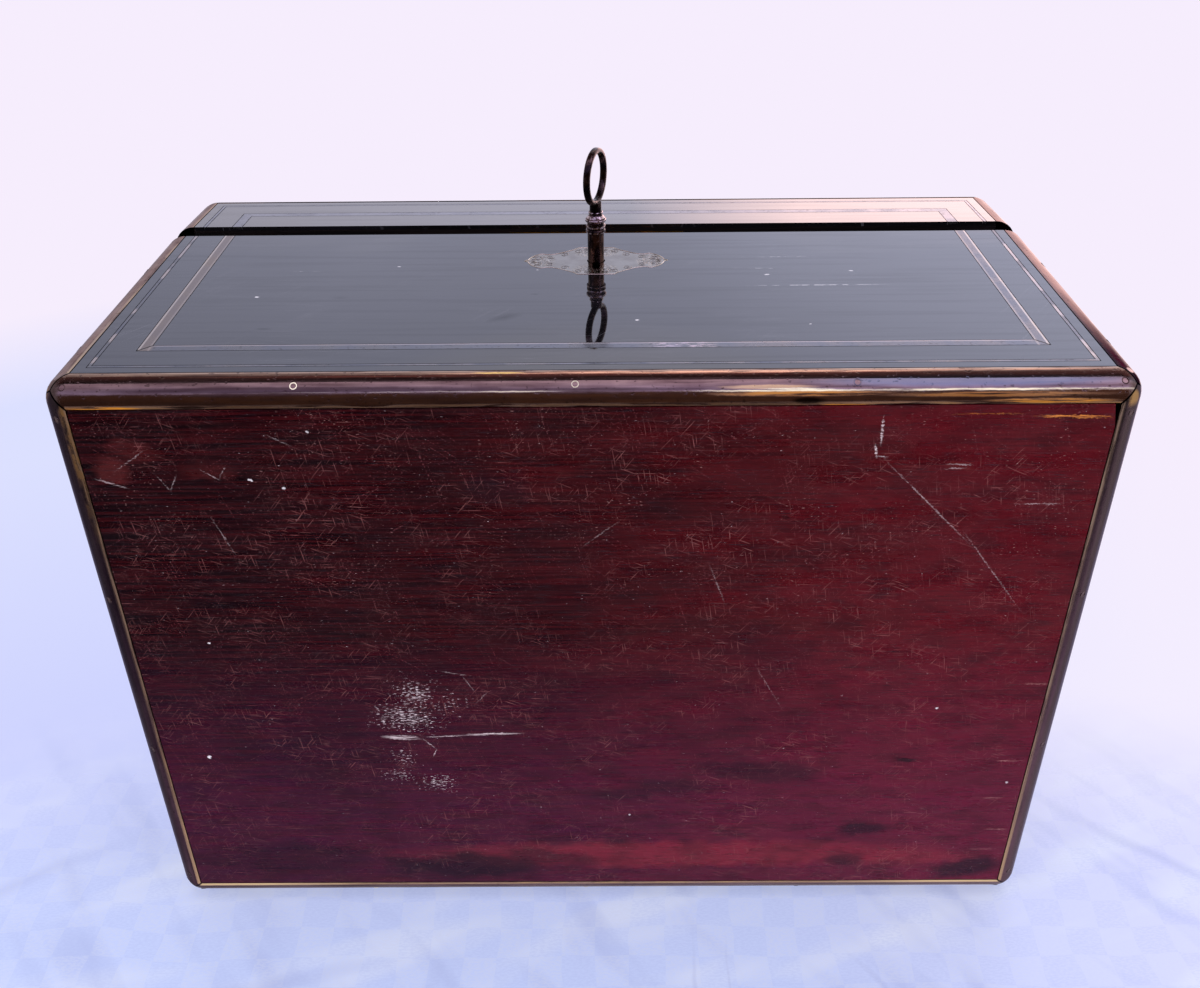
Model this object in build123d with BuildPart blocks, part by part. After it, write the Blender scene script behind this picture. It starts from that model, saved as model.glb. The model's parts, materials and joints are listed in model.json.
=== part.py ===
from build123d import *

import os
from math import cos, radians, sin

os.makedirs("parts", exist_ok=True)

# The case is a brass-edged box that stands on its base. Its front faces -Y, its lid is on
# top and its hinges are at the back. The origin is the middle of the base's underside.

# Outer form
width = 330.0
depth = 228.0
body_height = 125.0
lid_height = 41.0
edge_radius = 8.0
seam_gap = 0.3
ajar_angle = 2.6

# Carcass, skins and cedar lining
wall = 10.0
veneer = 1.5
lining = 5.0
floor_lining = 4.0
lid_top_lining = 4.0
lip_height = 5.0
lip_clearance = 0.5
lid_lining_gap = 1.5
glue_line = 0.1

# Inlaid lines: a broad band and a fine outer line, both let into the skins
inlay_depth = 1.0
band_inset = 23.4
band_width = 3.7
line_inset = 12.0
line_width = 1.0
inlay_gap = 0.25

# The base panel and the skins have shrunk in their frame of mouldings, and the base panel's
# front right corner is chipped
panel_gap = 0.4
skin_gap = 0.4
chip_width = 1.9
chip_length = 8.0

# Edge mouldings, and the round pins that hold them: places along the edge and lean from level
mitre_gap = 0.2
pin_radius = 1.2
pin_depth = 3.4
long_pin_pitch = 83.6
long_pin_shift = -5.1
long_pin_overrun = 0.6
long_pin_lean = 41.0
end_pin_pitch = 68.0
end_pin_lean = 60.0
corner_pin_inset = 30.0
ball_pin_drop = 0.8
ball_pin_swing = 65.0

# Lock, key and key plate
lock_x = 0.8
key_drop = 28.5
stem_radius = 2.95
pipe_radius = 1.5
bit_radius = 7.0
bit_thickness = 2.0
bit_length = 4.0
ward_near = 1.6
ward_far = 2.6
ward_depth = 1.6
bore_point = 1.0
key_clearance = 0.3
keyway_overrun = 2.0
lock_width = 52.0
lock_height = 41.0
lock_depth = 7.5
lock_plate = 1.2
selvedge_width = 68.0
selvedge_front = 8.5
selvedge_thickness = 1.8
bolt_thickness = 2.5
bolt_throw = 6.5
bolt_bar_height = 8.7
bolt_reach = 12.5
bolt_gap = 0.7
guide_left = 14.0
guide_right = 10.0
guide_radius = 1.2
running_gap = 0.05
hook_pitch = 23.0
hook_shank = 4.0
hook_nose = 6.0
hook_nose_height = 2.5
hook_play = 0.9
finger_height = 3.0
finger_length = 5.8
finger_root = 4.0
finger_end_gap = 1.0
finger_gap = 0.4
spring_thickness = 0.5
spring_inset = 0.2
spring_gap = 0.3
spring_end_gap = 1.0
drill_pin_radius = 1.2
barrel_radius = 4.6
link_screw_inset = 4.0

# Key plate: its outline is a quarter, from the top's flat over a shoulder to the side's finial
plate_thickness = 1.2
plate_flat = 6.5
plate_half_height = 13.0
plate_shoulder_run = 4.5
plate_shoulder_rise = 2.9
plate_waist_run = 1.5
plate_arm_height = 6.2
plate_arm = 19.5
plate_cusp_rise = 0.8
plate_lobe_run = 3.6
plate_lobe_fall = 1.9
plate_tip = 24.6
plate_tip_height = 1.0
plate_finial = 26.0

# The key's shank above the key plate, as heights from the front face, and its ring
collar_start = 11.0
collar_end = 13.4
collar_radius = 3.5
collar_step = 0.3
groove_half_width = 0.5
groove_depth = 0.4
cone_foot = 14.3
cone_rim = 0.6
cone_start = 15.7
cone_end = 17.6
cone_radius = 3.7
neck_radius = 2.1
neck_bead = 0.5
bow_outer_radius = 9.9
bow_start = 20.8
bow_band = 2.4
bow_thickness = 1.9
bow_skew = 19.0

# Hinges
hinge_span = 190.0
hinge_length = 45.0
knuckle_radius = 3.0
knuckle_count = 5
knuckle_gap = 0.3
knuckle_clearance = 0.4
hinge_offset = 1.0
leaf_thickness = 1.6
leaf_inset = 1.0
hinge_pin_radius = 1.2

# Screws
screw_radius = 1.2
screw_head_radius = 2.2
screw_head_depth = 1.3
screw_length = 8.0
screw_slot = 0.5

# Lift-out tray and its bearers
tray_height = 28.0
tray_wall = 5.0
tray_floor_thickness = 3.0
tray_clearance = 0.75
tray_seat = 0.3
tray_drop = 11.0
finger_notch_radius = 13.0
bearer_height = 10.0
bearer_width = 5.0

# Humidifier under the lid
humidifier_width = 150.0
humidifier_depth = 50.0
humidifier_height = 12.0
humidifier_wall = 1.5
cover_thickness = 1.5
cover_hole_radius = 1.8
cover_hole_pitch = 8.0
pad_clearance = 0.3

# Levels and planes that follow from the sizes above
half_width = width / 2
half_depth = depth / 2
lid_low = body_height + seam_gap
lid_top = lid_low + lid_height
lid_wall_top = lid_top - edge_radius
skin_x = half_width - veneer
skin_y = half_depth - veneer
inner_x = skin_x - wall
inner_y = skin_y - wall
clear_x = inner_x - lining
clear_y = inner_y - lining
panel_x = half_width - edge_radius
panel_y = half_depth - edge_radius
skin_end_x = panel_x - skin_gap
skin_end_y = panel_y - skin_gap
skin_low = edge_radius + skin_gap
lid_skin_high = lid_wall_top - skin_gap
lip_top = body_height + lip_height
lid_ceiling = lid_wall_top - lid_top_lining
key_z = body_height - key_drop
hinge_y = half_depth + hinge_offset
hinge_z = body_height + seam_gap / 2
hinge_axis = Axis((0, hinge_y, hinge_z), (1, 0, 0))
signs = (-1, 1)


def block(x_limits, y_limits, z_limits, mode=Mode.ADD):
    """Make a square-edged block between two limits on each axis in the open part."""
    limits = (x_limits, y_limits, z_limits)
    with Locations([tuple((low + high) / 2 for low, high in limits)]):
        Box(*[abs(high - low) for low, high in limits], mode=mode)


def facing_front(y):
    """Give the plane at y that is seen from the front, with X across and Z up."""
    return Plane(origin=(0, y, 0), x_dir=(1, 0, 0), z_dir=(0, -1, 0))


def facing_side(sign):
    """Give the outer plane of one side, with Y across and Z up."""
    return Plane(origin=(sign * half_width, 0, 0), x_dir=(0, sign, 0), z_dir=(sign, 0, 0))


def edge_moulding(envelope, bars, mitres):
    """Make mouldings: square bars rounded by the outer form and mitred at the corners."""
    with BuildPart() as moulding:
        for limits in bars:
            block(*limits)
        add(envelope.part, mode=Mode.INTERSECT)
        for corner, along, against in mitres:
            outward = (along - against).normalized()
            origin = corner - outward * mitre_gap / 2
            split(bisect_by=Plane(origin=origin, z_dir=outward), keep=Keep.BOTTOM)
    return moulding


def driven_pins(envelope, places):
    """Make round pins through the mouldings, with heads filed flush to the outer form."""
    with BuildPart() as pins:
        for centre, outward in places:
            inner_end = Vector(*centre) - Vector(*outward).normalized() * pin_depth
            with BuildSketch(Plane(origin=inner_end, z_dir=outward)):
                Circle(pin_radius)
            extrude(amount=pin_depth + 2 * edge_radius)
        add(envelope.part, mode=Mode.INTERSECT)
    return pins


def open_line(planes, half_span, cross, rim, line, inset_depth):
    """Make lines of inlay: up one side of a face, across it and down to the rim again."""
    step = line if rim > cross else -line
    with BuildPart() as inlay:
        for plane in planes:
            with BuildSketch(plane):
                with BuildLine():
                    Polyline(
                        (-half_span, rim),
                        (-half_span, cross),
                        (half_span, cross),
                        (half_span, rim),
                        (half_span - line, rim),
                        (half_span - line, cross + step),
                        (line - half_span, cross + step),
                        (line - half_span, rim),
                        close=True,
                    )
                make_face()
            extrude(amount=-inset_depth)
    return inlay


def closed_line(inset, line):
    """Make a rectangle of inlay let into the lid's top."""
    with BuildPart() as inlay:
        with BuildSketch(Plane.XY.offset(lid_top)):
            Rectangle(width - 2 * inset, depth - 2 * inset)
            Rectangle(width - 2 * (inset + line), depth - 2 * (inset + line), mode=Mode.SUBTRACT)
        extrude(amount=-inlay_depth)
    return inlay


def countersunk(places, slotted):
    """Make screws with cone heads, or without their slots the shape that is cut for them."""
    middle_low = (Align.CENTER, Align.CENTER, Align.MIN)
    with BuildPart() as screws:
        for head, inward in places:
            with Locations(Plane(origin=head, z_dir=inward)):
                Cone(screw_head_radius, screw_radius, screw_head_depth, align=middle_low)
                Cylinder(screw_radius, screw_length, align=middle_low)
                if slotted:
                    Box(
                        2 * screw_head_radius,
                        screw_slot,
                        screw_slot,
                        align=middle_low,
                        mode=Mode.SUBTRACT,
                    )
    return screws


# Outer forms: rounded blocks that the mouldings are cut from

with BuildPart() as body_envelope:
    block((-half_width, half_width), (-half_depth, half_depth), (0, body_height))
    body_edges = body_envelope.edges().filter_by(Axis.Z)
    body_edges += body_envelope.edges().group_by(Axis.Z)[0]
    fillet(body_edges, radius=edge_radius)

with BuildPart() as lid_envelope:
    block((-half_width, half_width), (-half_depth, half_depth), (lid_low, lid_top))
    lid_edges = lid_envelope.edges().filter_by(Axis.Z)
    lid_edges += lid_envelope.edges().group_by(Axis.Z)[-1]
    fillet(lid_edges, radius=edge_radius)


# Pins through the mouldings

pin_xs = [long_pin_shift + step * long_pin_pitch for step in (-1, 0, 1)]
pin_xs += [s * (panel_x + long_pin_overrun) for s in signs]
pin_ys = [step * end_pin_pitch for step in (-1.5, -0.5, 0.5, 1.5)]
long_out = cos(radians(long_pin_lean))
long_up = sin(radians(long_pin_lean))
end_out = cos(radians(end_pin_lean))
end_up = sin(radians(end_pin_lean))
ball_out = (cos(radians(ball_pin_swing)), sin(radians(ball_pin_swing)))


def pin_places(level, up):
    """Give the pins of one ring of edge mouldings, as centres and outward directions."""
    places = []
    for s in signs:
        for x in pin_xs:
            places.append(((x, s * panel_y, level), (0, s * long_out, up * long_up)))
        for y in pin_ys:
            places.append(((s * panel_x, y, level), (s * end_out, 0, up * end_up)))
    return places


body_pin_places = pin_places(edge_radius, -1)
for side in signs:
    for end in signs:
        for pin_z in (corner_pin_inset, body_height - corner_pin_inset):
            body_pin_places.append(((side * panel_x, end * panel_y, pin_z), (side, end, 0)))
        ball_pin = (side * panel_x, end * panel_y, edge_radius - ball_pin_drop)
        body_pin_places.append((ball_pin, (side * ball_out[0], end * ball_out[1], 0)))

moulding_pins = driven_pins(body_envelope, body_pin_places)
lid_moulding_pins = driven_pins(lid_envelope, pin_places(lid_wall_top, 1))


# Brass edge mouldings, with three-way mitres on the corner balls

x_way = Vector(1, 0, 0)
y_way = Vector(0, 1, 0)
z_way = Vector(0, 0, 1)


def ball_mitres(ends, others, level, up):
    """Give the cuts at a moulding's ends: corner, way along it and way of the other one."""
    cuts = []
    for along, corner in ends:
        origin = Vector(corner[0], corner[1], level)
        for other in (*others, z_way * up):
            cuts.append((origin, along, other))
    return cuts


def long_moulding(envelope, sign, level, up, pins):
    """Make the moulding along the front or back edge of the base or of the lid's top."""
    bar = (
        (-half_width, half_width),
        sorted((sign * panel_y, sign * half_depth)),
        sorted((level, level + up * edge_radius)),
    )
    ends = [(x_way * s, (s * panel_x, sign * panel_y)) for s in signs]
    moulding = edge_moulding(envelope, [bar], ball_mitres(ends, [y_way * sign], level, up))
    with moulding:
        add(pins.part, mode=Mode.SUBTRACT)
    return moulding


def end_mouldings(envelope, level, up, pins):
    """Make the two mouldings along the left and right edges, front to back."""
    halves = []
    for sign in signs:
        bar = (
            sorted((sign * panel_x, sign * half_width)),
            (-half_depth, half_depth),
            sorted((level, level + up * edge_radius)),
        )
        ends = [(y_way * s, (sign * panel_x, s * panel_y)) for s in signs]
        halves.append(edge_moulding(envelope, [bar], ball_mitres(ends, [x_way * sign], level, up)))
    with BuildPart() as pair:
        for half in halves:
            add(half.part)
        add(pins.part, mode=Mode.SUBTRACT)
    return pair


def upright_mouldings(envelope, low, high, level, up, pins):
    """Make the four upright mouldings of the corners, mitred where they meet the ball."""
    posts = []
    for side in signs:
        for end in signs:
            bar = (
                sorted((side * panel_x, side * half_width)),
                sorted((end * panel_y, end * half_depth)),
                (low, high),
            )
            corner = Vector(side * panel_x, end * panel_y, level)
            cuts = [(corner, z_way * up, x_way * side), (corner, z_way * up, y_way * end)]
            posts.append(edge_moulding(envelope, [bar], cuts))
    with BuildPart() as four:
        for post in posts:
            add(post.part)
        add(pins.part, mode=Mode.SUBTRACT)
    return four


base_front_moulding = long_moulding(body_envelope, -1, edge_radius, -1, moulding_pins)
base_back_moulding = long_moulding(body_envelope, 1, edge_radius, -1, moulding_pins)
base_end_mouldings = end_mouldings(body_envelope, edge_radius, -1, moulding_pins)
corner_mouldings = upright_mouldings(
    body_envelope, 0, body_height, edge_radius, -1, moulding_pins
)
lid_front_moulding = long_moulding(lid_envelope, -1, lid_wall_top, 1, lid_moulding_pins)
lid_back_moulding = long_moulding(lid_envelope, 1, lid_wall_top, 1, lid_moulding_pins)
lid_end_mouldings = end_mouldings(lid_envelope, lid_wall_top, 1, lid_moulding_pins)
lid_corner_mouldings = upright_mouldings(
    lid_envelope, lid_low, lid_top, lid_wall_top, 1, lid_moulding_pins
)


# Inlaid brass lines

front = facing_front(-half_depth)
side_planes = [facing_side(sign) for sign in signs]
band_span = half_width - band_inset
front_line_span = half_width - line_inset
side_line_span = half_depth - line_inset



def body_lines(planes, half_span, inset, line, gap):
    """Make a line on the body's faces, or with a gap the channel that it lies in."""
    return open_line(
        planes, half_span + gap, inset - gap, body_height, line + 2 * gap, inlay_depth
    )


def lid_lines(planes, half_span, inset, line, gap):
    """Make a line on the lid's faces, or with a gap the channel that it lies in."""
    level = lid_top - inset + gap
    return open_line(planes, half_span + gap, level, lid_low, line + 2 * gap, inlay_depth)


def all_lines(gap):
    """Make the band and the fine line of the body, then those of the lid."""
    with BuildPart() as body_band:
        add(body_lines([front], band_span, band_inset, band_width, gap).part)
    with BuildPart() as body_fine:
        add(body_lines([front], front_line_span, line_inset, line_width, gap).part)
        add(body_lines(side_planes, side_line_span, line_inset, line_width, gap).part)
    with BuildPart() as lid_broad:
        add(lid_lines([front], band_span, band_inset, band_width, gap).part)
        add(closed_line(band_inset - gap, band_width + 2 * gap).part)
    with BuildPart() as lid_fine:
        add(lid_lines([front], front_line_span, line_inset, line_width, gap).part)
        add(lid_lines(side_planes, side_line_span, line_inset, line_width, gap).part)
        add(closed_line(line_inset - gap, line_width + 2 * gap).part)
    return body_band, body_fine, lid_broad, lid_fine


front_band, body_stringing, lid_band, lid_stringing = all_lines(0)
band_channel, line_channel, lid_band_channel, lid_line_channel = all_lines(inlay_gap)


# Key plate and the way that the key goes through it

key_face = Plane(origin=(lock_x, -half_depth, key_z), x_dir=(1, 0, 0), z_dir=(0, -1, 0))
wall_back = -inner_y
lock_front = wall_back - lock_depth
key_tip = wall_back - lock_plate - key_clearance

with BuildPart() as keyway:
    with BuildSketch(key_face.offset(keyway_overrun)):
        Circle(stem_radius + key_clearance)
        with Locations((0, -(bit_radius + key_clearance) / 2)):
            Rectangle(bit_thickness + 2 * key_clearance, bit_radius + key_clearance)
    extrude(amount=-(half_depth + lock_front + lock_plate + 2 * keyway_overrun))

plate_shoulder = (plate_flat + plate_shoulder_run, plate_arm_height + plate_shoulder_rise)
plate_waist = (plate_arm - plate_waist_run, plate_arm_height)
plate_cusp = (plate_arm, plate_arm_height + plate_cusp_rise)
plate_lobe = (plate_arm + plate_lobe_run, plate_arm_height - plate_lobe_fall)
plate_tip_corner = (plate_tip, plate_tip_height)

with BuildPart() as key_plate:
    with BuildSketch(key_face):
        with BuildLine():
            Line((0, plate_half_height), (plate_flat, plate_half_height))
            Spline(
                (plate_flat, plate_half_height),
                plate_shoulder,
                plate_waist,
                tangents=((0.6, -1), (1, 0)),
            )
            Line(plate_waist, plate_cusp)
            ThreePointArc(plate_cusp, plate_lobe, plate_tip_corner)
            Line(plate_tip_corner, (plate_finial, 0))
            mirror(about=Plane.XZ)
            mirror(about=Plane.YZ)
        make_face()
    extrude(amount=-plate_thickness)
    add(keyway.part, mode=Mode.SUBTRACT)
with BuildPart() as key_plate_seat:
    add(key_plate.part)
    add(keyway.part)


# Mahogany carcass and its ebonised skins

with BuildPart() as base_panel:
    with BuildSketch():
        with BuildLine():
            Polyline(
                (panel_gap - panel_x, panel_gap - panel_y),
                (panel_x - chip_width, panel_gap - panel_y),
                (panel_x - panel_gap, chip_length - panel_y),
                (panel_x - panel_gap, panel_y - panel_gap),
                (panel_gap - panel_x, panel_y - panel_gap),
                close=True,
            )
        make_face()
    extrude(amount=edge_radius)
    add(moulding_pins.part, mode=Mode.SUBTRACT)

with BuildPart() as lock_pocket:
    block(
        (lock_x - lock_width / 2, lock_x + lock_width / 2),
        (lock_front, wall_back),
        (body_height - lock_height, body_height),
    )
    block(
        (lock_x - selvedge_width / 2, lock_x + selvedge_width / 2),
        (wall_back - selvedge_front, wall_back),
        (body_height - selvedge_thickness, body_height),
    )

lock_screw_x = (selvedge_width + lock_width) / 4
lock_screw_y = wall_back - selvedge_front / 2
lock_screw_places = [
    ((lock_x + s * lock_screw_x, lock_screw_y, body_height), (0, 0, -1)) for s in signs
]
lock_screws = countersunk(lock_screw_places, True)
lock_screw_holes = countersunk(lock_screw_places, False)

hinge_xs = [s * hinge_span / 2 for s in signs]
leaf_front = inner_y + leaf_inset
leaf_back = hinge_y - knuckle_radius - knuckle_clearance
hinge_screw_y = (leaf_front + leaf_back) / 2
hinge_screw_xs = [x + s * hinge_length / 3 for x in hinge_xs for s in signs]
hinge_screw_places = [((x, hinge_screw_y, body_height), (0, 0, -1)) for x in hinge_screw_xs]
hinge_screws = countersunk(hinge_screw_places, True)
hinge_screw_holes = countersunk(hinge_screw_places, False)
notch = knuckle_radius + 2 * knuckle_clearance


def hinge_recess(low, high, leaf_low, leaf_high):
    """Make the cut for both hinges at one rim: a knuckle notch and a seat for each leaf."""
    with BuildPart() as recess:
        for x in hinge_xs:
            ends = (x - hinge_length / 2 - knuckle_gap, x + hinge_length / 2 + knuckle_gap)
            block(ends, (hinge_y - notch, hinge_y + notch), (low, high))
            block(ends, (leaf_front, hinge_y), (leaf_low, leaf_high))
    return recess


body_hinge_recess = hinge_recess(
    hinge_z - notch, body_height, body_height - leaf_thickness, body_height
)
lid_hinge_recess = hinge_recess(lid_low, hinge_z + notch, lid_low, lid_low + leaf_thickness)

with BuildPart() as front_wall:
    block((-panel_x, panel_x), (-skin_y, -inner_y), (edge_radius, body_height))
    add(lock_pocket.part, mode=Mode.SUBTRACT)
    add(keyway.part, mode=Mode.SUBTRACT)
    add(lock_screw_holes.part, mode=Mode.SUBTRACT)
    add(moulding_pins.part, mode=Mode.SUBTRACT)

with BuildPart() as back_wall:
    block((-panel_x, panel_x), (inner_y, skin_y), (edge_radius, body_height))
    add(body_hinge_recess.part, mode=Mode.SUBTRACT)
    add(hinge_screw_holes.part, mode=Mode.SUBTRACT)
    add(moulding_pins.part, mode=Mode.SUBTRACT)


def end_walls(low, high, pins):
    """Make the left and right walls, rebated over the ends of the front and back walls."""
    with BuildPart() as walls:
        for side in signs:
            block(sorted((side * inner_x, side * skin_x)), (-inner_y, inner_y), (low, high))
            block(sorted((side * panel_x, side * skin_x)), (-panel_y, panel_y), (low, high))
        add(pins.part, mode=Mode.SUBTRACT)
    return walls


body_end_walls = end_walls(edge_radius, body_height, moulding_pins)

with BuildPart() as front_veneer:
    block((-skin_end_x, skin_end_x), (-half_depth, -skin_y), (skin_low, body_height))
    add(band_channel.part, mode=Mode.SUBTRACT)
    add(line_channel.part, mode=Mode.SUBTRACT)
    add(key_plate_seat.part, mode=Mode.SUBTRACT)

with BuildPart() as back_veneer:
    block((-skin_end_x, skin_end_x), (skin_y, half_depth), (skin_low, body_height))
    add(body_hinge_recess.part, mode=Mode.SUBTRACT)


def end_veneers(low, high, stringing):
    """Make the left and right skins with the channels for their inlaid lines."""
    with BuildPart() as skins:
        for side in signs:
            limits = sorted((side * skin_x, side * half_width))
            block(limits, (-skin_end_y, skin_end_y), (low, high))
        add(stringing.part, mode=Mode.SUBTRACT)
    return skins


body_end_veneers = end_veneers(skin_low, body_height, line_channel)


# Lid carcass and skins, in the closed place

link_screw_x = selvedge_width / 2 - link_screw_inset
link_screw_places = [
    ((lock_x + x, lock_screw_y, lid_low), (0, 0, 1)) for x in (-link_screw_x, link_screw_x)
]
lid_hinge_screw_places = [((x, hinge_screw_y, lid_low), (0, 0, 1)) for x in hinge_screw_xs]
lid_screw_places = link_screw_places + lid_hinge_screw_places
lid_screws = countersunk(lid_screw_places, True)
lid_screw_holes = countersunk(lid_screw_places, False)

with BuildPart() as link_recess:
    block(
        (lock_x - selvedge_width / 2, lock_x + selvedge_width / 2),
        (wall_back - selvedge_front, wall_back),
        (lid_low, lid_low + selvedge_thickness),
    )

with BuildPart() as lid_front_wall:
    block((-panel_x, panel_x), (-skin_y, -inner_y), (lid_low, lid_wall_top))
    add(link_recess.part, mode=Mode.SUBTRACT)
    add(lid_screw_holes.part, mode=Mode.SUBTRACT)
    add(lid_moulding_pins.part, mode=Mode.SUBTRACT)

with BuildPart() as lid_back_wall:
    block((-panel_x, panel_x), (inner_y, skin_y), (lid_low, lid_wall_top))
    add(lid_hinge_recess.part, mode=Mode.SUBTRACT)
    add(lid_screw_holes.part, mode=Mode.SUBTRACT)
    add(lid_moulding_pins.part, mode=Mode.SUBTRACT)

lid_end_walls = end_walls(lid_low, lid_wall_top, lid_moulding_pins)

with BuildPart() as lid_top_board:
    block((-panel_x, panel_x), (-panel_y, panel_y), (lid_wall_top, lid_top - veneer))
    add(lid_moulding_pins.part, mode=Mode.SUBTRACT)

with BuildPart() as lid_top_veneer:
    block((-skin_end_x, skin_end_x), (-skin_end_y, skin_end_y), (lid_top - veneer, lid_top))
    add(lid_band_channel.part, mode=Mode.SUBTRACT)
    add(lid_line_channel.part, mode=Mode.SUBTRACT)

with BuildPart() as lid_front_veneer:
    block((-skin_end_x, skin_end_x), (-half_depth, -skin_y), (lid_low, lid_skin_high))
    add(lid_band_channel.part, mode=Mode.SUBTRACT)
    add(lid_line_channel.part, mode=Mode.SUBTRACT)

with BuildPart() as lid_back_veneer:
    block((-skin_end_x, skin_end_x), (skin_y, half_depth), (lid_low, lid_skin_high))
    add(lid_hinge_recess.part, mode=Mode.SUBTRACT)

lid_end_veneers = end_veneers(lid_low, lid_skin_high, lid_line_channel)


# Cedar lining, whose upper edge stands above the rim as a sealing lip

floor_top = edge_radius + floor_lining
lip_x = inner_x - lip_clearance
lip_y = inner_y - lip_clearance

with BuildPart() as lining_floor:
    block((-inner_x, inner_x), (-inner_y, inner_y), (edge_radius, floor_top))


def long_lining(sign):
    """Make the lining of the front or back wall, thinner where it rises past the rim."""
    with BuildPart() as board:
        body_limits = sorted((sign * clear_y, sign * inner_y))
        lip_limits = sorted((sign * clear_y, sign * lip_y))
        block((-inner_x, inner_x), body_limits, (floor_top, body_height))
        block((-lip_x, lip_x), lip_limits, (body_height, lip_top))
    return board


lining_front = long_lining(-1)
lining_back = long_lining(1)

with BuildPart() as lining_ends:
    for side in signs:
        end_limits = sorted((side * clear_x, side * inner_x))
        lip_limits = sorted((side * clear_x, side * lip_x))
        block(end_limits, (-clear_y, clear_y), (floor_top, body_height))
        block(lip_limits, (-clear_y, clear_y), (body_height, lip_top))

lid_lining_low = lip_top + lid_lining_gap
with BuildPart() as lid_lining_ceiling:
    block((-inner_x, inner_x), (-inner_y, inner_y), (lid_ceiling, lid_wall_top))

with BuildPart() as lid_lining_strips:
    strip_end = clear_y - glue_line
    for sign in signs:
        long_limits = sorted((sign * clear_y, sign * inner_y))
        end_limits = sorted((sign * clear_x, sign * inner_x))
        block((-inner_x, inner_x), long_limits, (lid_lining_low, lid_ceiling))
        block(end_limits, (-strip_end, strip_end), (lid_lining_low, lid_ceiling))


# Lift-out tray on two bearers

tray_x = clear_x - tray_clearance
tray_y = clear_y - tray_clearance
tray_top = body_height - tray_drop
tray_low = tray_top - tray_height
tray_floor_top = tray_low + tray_floor_thickness
bearer_top = tray_low - tray_seat

with BuildPart() as tray_bearers:
    for side in signs:
        block(
            sorted((side * (clear_x - bearer_width), side * clear_x)),
            (-clear_y, clear_y),
            (bearer_top - bearer_height, bearer_top),
        )

with BuildPart() as tray_floor:
    block((-tray_x, tray_x), (-tray_y, tray_y), (tray_low, tray_floor_top))

with BuildPart() as tray_walls:
    side_end = tray_y - tray_wall - glue_line
    for sign in signs:
        long_limits = sorted((sign * (tray_y - tray_wall), sign * tray_y))
        end_limits = sorted((sign * (tray_x - tray_wall), sign * tray_x))
        block((-tray_x, tray_x), long_limits, (tray_floor_top, tray_top))
        block(end_limits, (-side_end, side_end), (tray_floor_top, tray_top))

with BuildPart() as tray_divider:
    with BuildSketch(Plane.YZ.offset(-tray_wall / 2)):
        with Locations((0, (tray_floor_top + tray_top) / 2)):
            Rectangle(2 * side_end, tray_top - tray_floor_top)
        with Locations((0, tray_top)):
            Circle(finger_notch_radius, mode=Mode.SUBTRACT)
    extrude(amount=tray_wall)


# Humidifier: a brass case with a pad behind a pierced cover

humidifier_low = lid_ceiling - humidifier_height
case_x = humidifier_width / 2
case_y = humidifier_depth / 2
cell_x = case_x - humidifier_wall
cell_y = case_y - humidifier_wall

with BuildPart() as humidifier_case:
    block((-case_x, case_x), (-case_y, case_y), (humidifier_low, lid_ceiling))
    block(
        (-cell_x, cell_x),
        (-cell_y, cell_y),
        (humidifier_low, lid_ceiling - humidifier_wall),
        Mode.SUBTRACT,
    )

with BuildPart() as humidifier_pad:
    block(
        (pad_clearance - cell_x, cell_x - pad_clearance),
        (pad_clearance - cell_y, cell_y - pad_clearance),
        (humidifier_low + pad_clearance, lid_ceiling - humidifier_wall),
    )

hole_columns = int((humidifier_width - 2 * cover_hole_pitch) / cover_hole_pitch)
hole_rows = int((humidifier_depth - 2 * cover_hole_pitch) / cover_hole_pitch)
with BuildPart() as humidifier_cover:
    block((-case_x, case_x), (-case_y, case_y), (humidifier_low - cover_thickness, humidifier_low))
    with Locations((0, 0, humidifier_low)):
        with GridLocations(cover_hole_pitch, cover_hole_pitch, hole_columns, hole_rows):
            Hole(cover_hole_radius)


# Hinges: two butt hinges let into the rims, each with a fixed pin

knuckle_pitch = hinge_length / knuckle_count


def hinge_leaves(kept, leaf_low, leaf_high):
    """Make one leaf of each hinge, with the knuckles whose numbers are kept."""
    with BuildPart() as leaves:
        for x in hinge_xs:
            start = x - hinge_length / 2
            block(
                (start, start + hinge_length),
                (leaf_front, leaf_back),
                (leaf_low, leaf_high),
            )
            for number in kept:
                low = start + number * knuckle_pitch + knuckle_gap / 2
                high = low + knuckle_pitch - knuckle_gap
                block((low, high), (leaf_back, hinge_y), (leaf_low, leaf_high))
                with BuildSketch(Plane(origin=(low, hinge_y, hinge_z), z_dir=(1, 0, 0))):
                    Circle(knuckle_radius)
                extrude(amount=high - low)
            with BuildSketch(Plane(origin=(start, hinge_y, hinge_z), z_dir=(1, 0, 0))):
                Circle(hinge_pin_radius + running_gap)
            extrude(amount=hinge_length, mode=Mode.SUBTRACT)
    return leaves


body_knuckles = range(0, knuckle_count, 2)
lid_knuckles = range(1, knuckle_count, 2)
hinge_body_leaves = hinge_leaves(body_knuckles, body_height - leaf_thickness, body_height)
hinge_lid_leaves = hinge_leaves(lid_knuckles, lid_low, lid_low + leaf_thickness)
with hinge_body_leaves:
    add(hinge_screw_holes.part, mode=Mode.SUBTRACT)
with hinge_lid_leaves:
    add(lid_screw_holes.part, mode=Mode.SUBTRACT)

with BuildPart() as hinge_pins:
    for hinge_x in hinge_xs:
        pin_start = hinge_x - hinge_length / 2
        with BuildSketch(Plane(origin=(pin_start, hinge_y, hinge_z), z_dir=(1, 0, 0))):
            Circle(hinge_pin_radius)
        extrude(amount=hinge_length)


# Lock: a cased bolt that slides under two hooks of the lid's link plate

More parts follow.
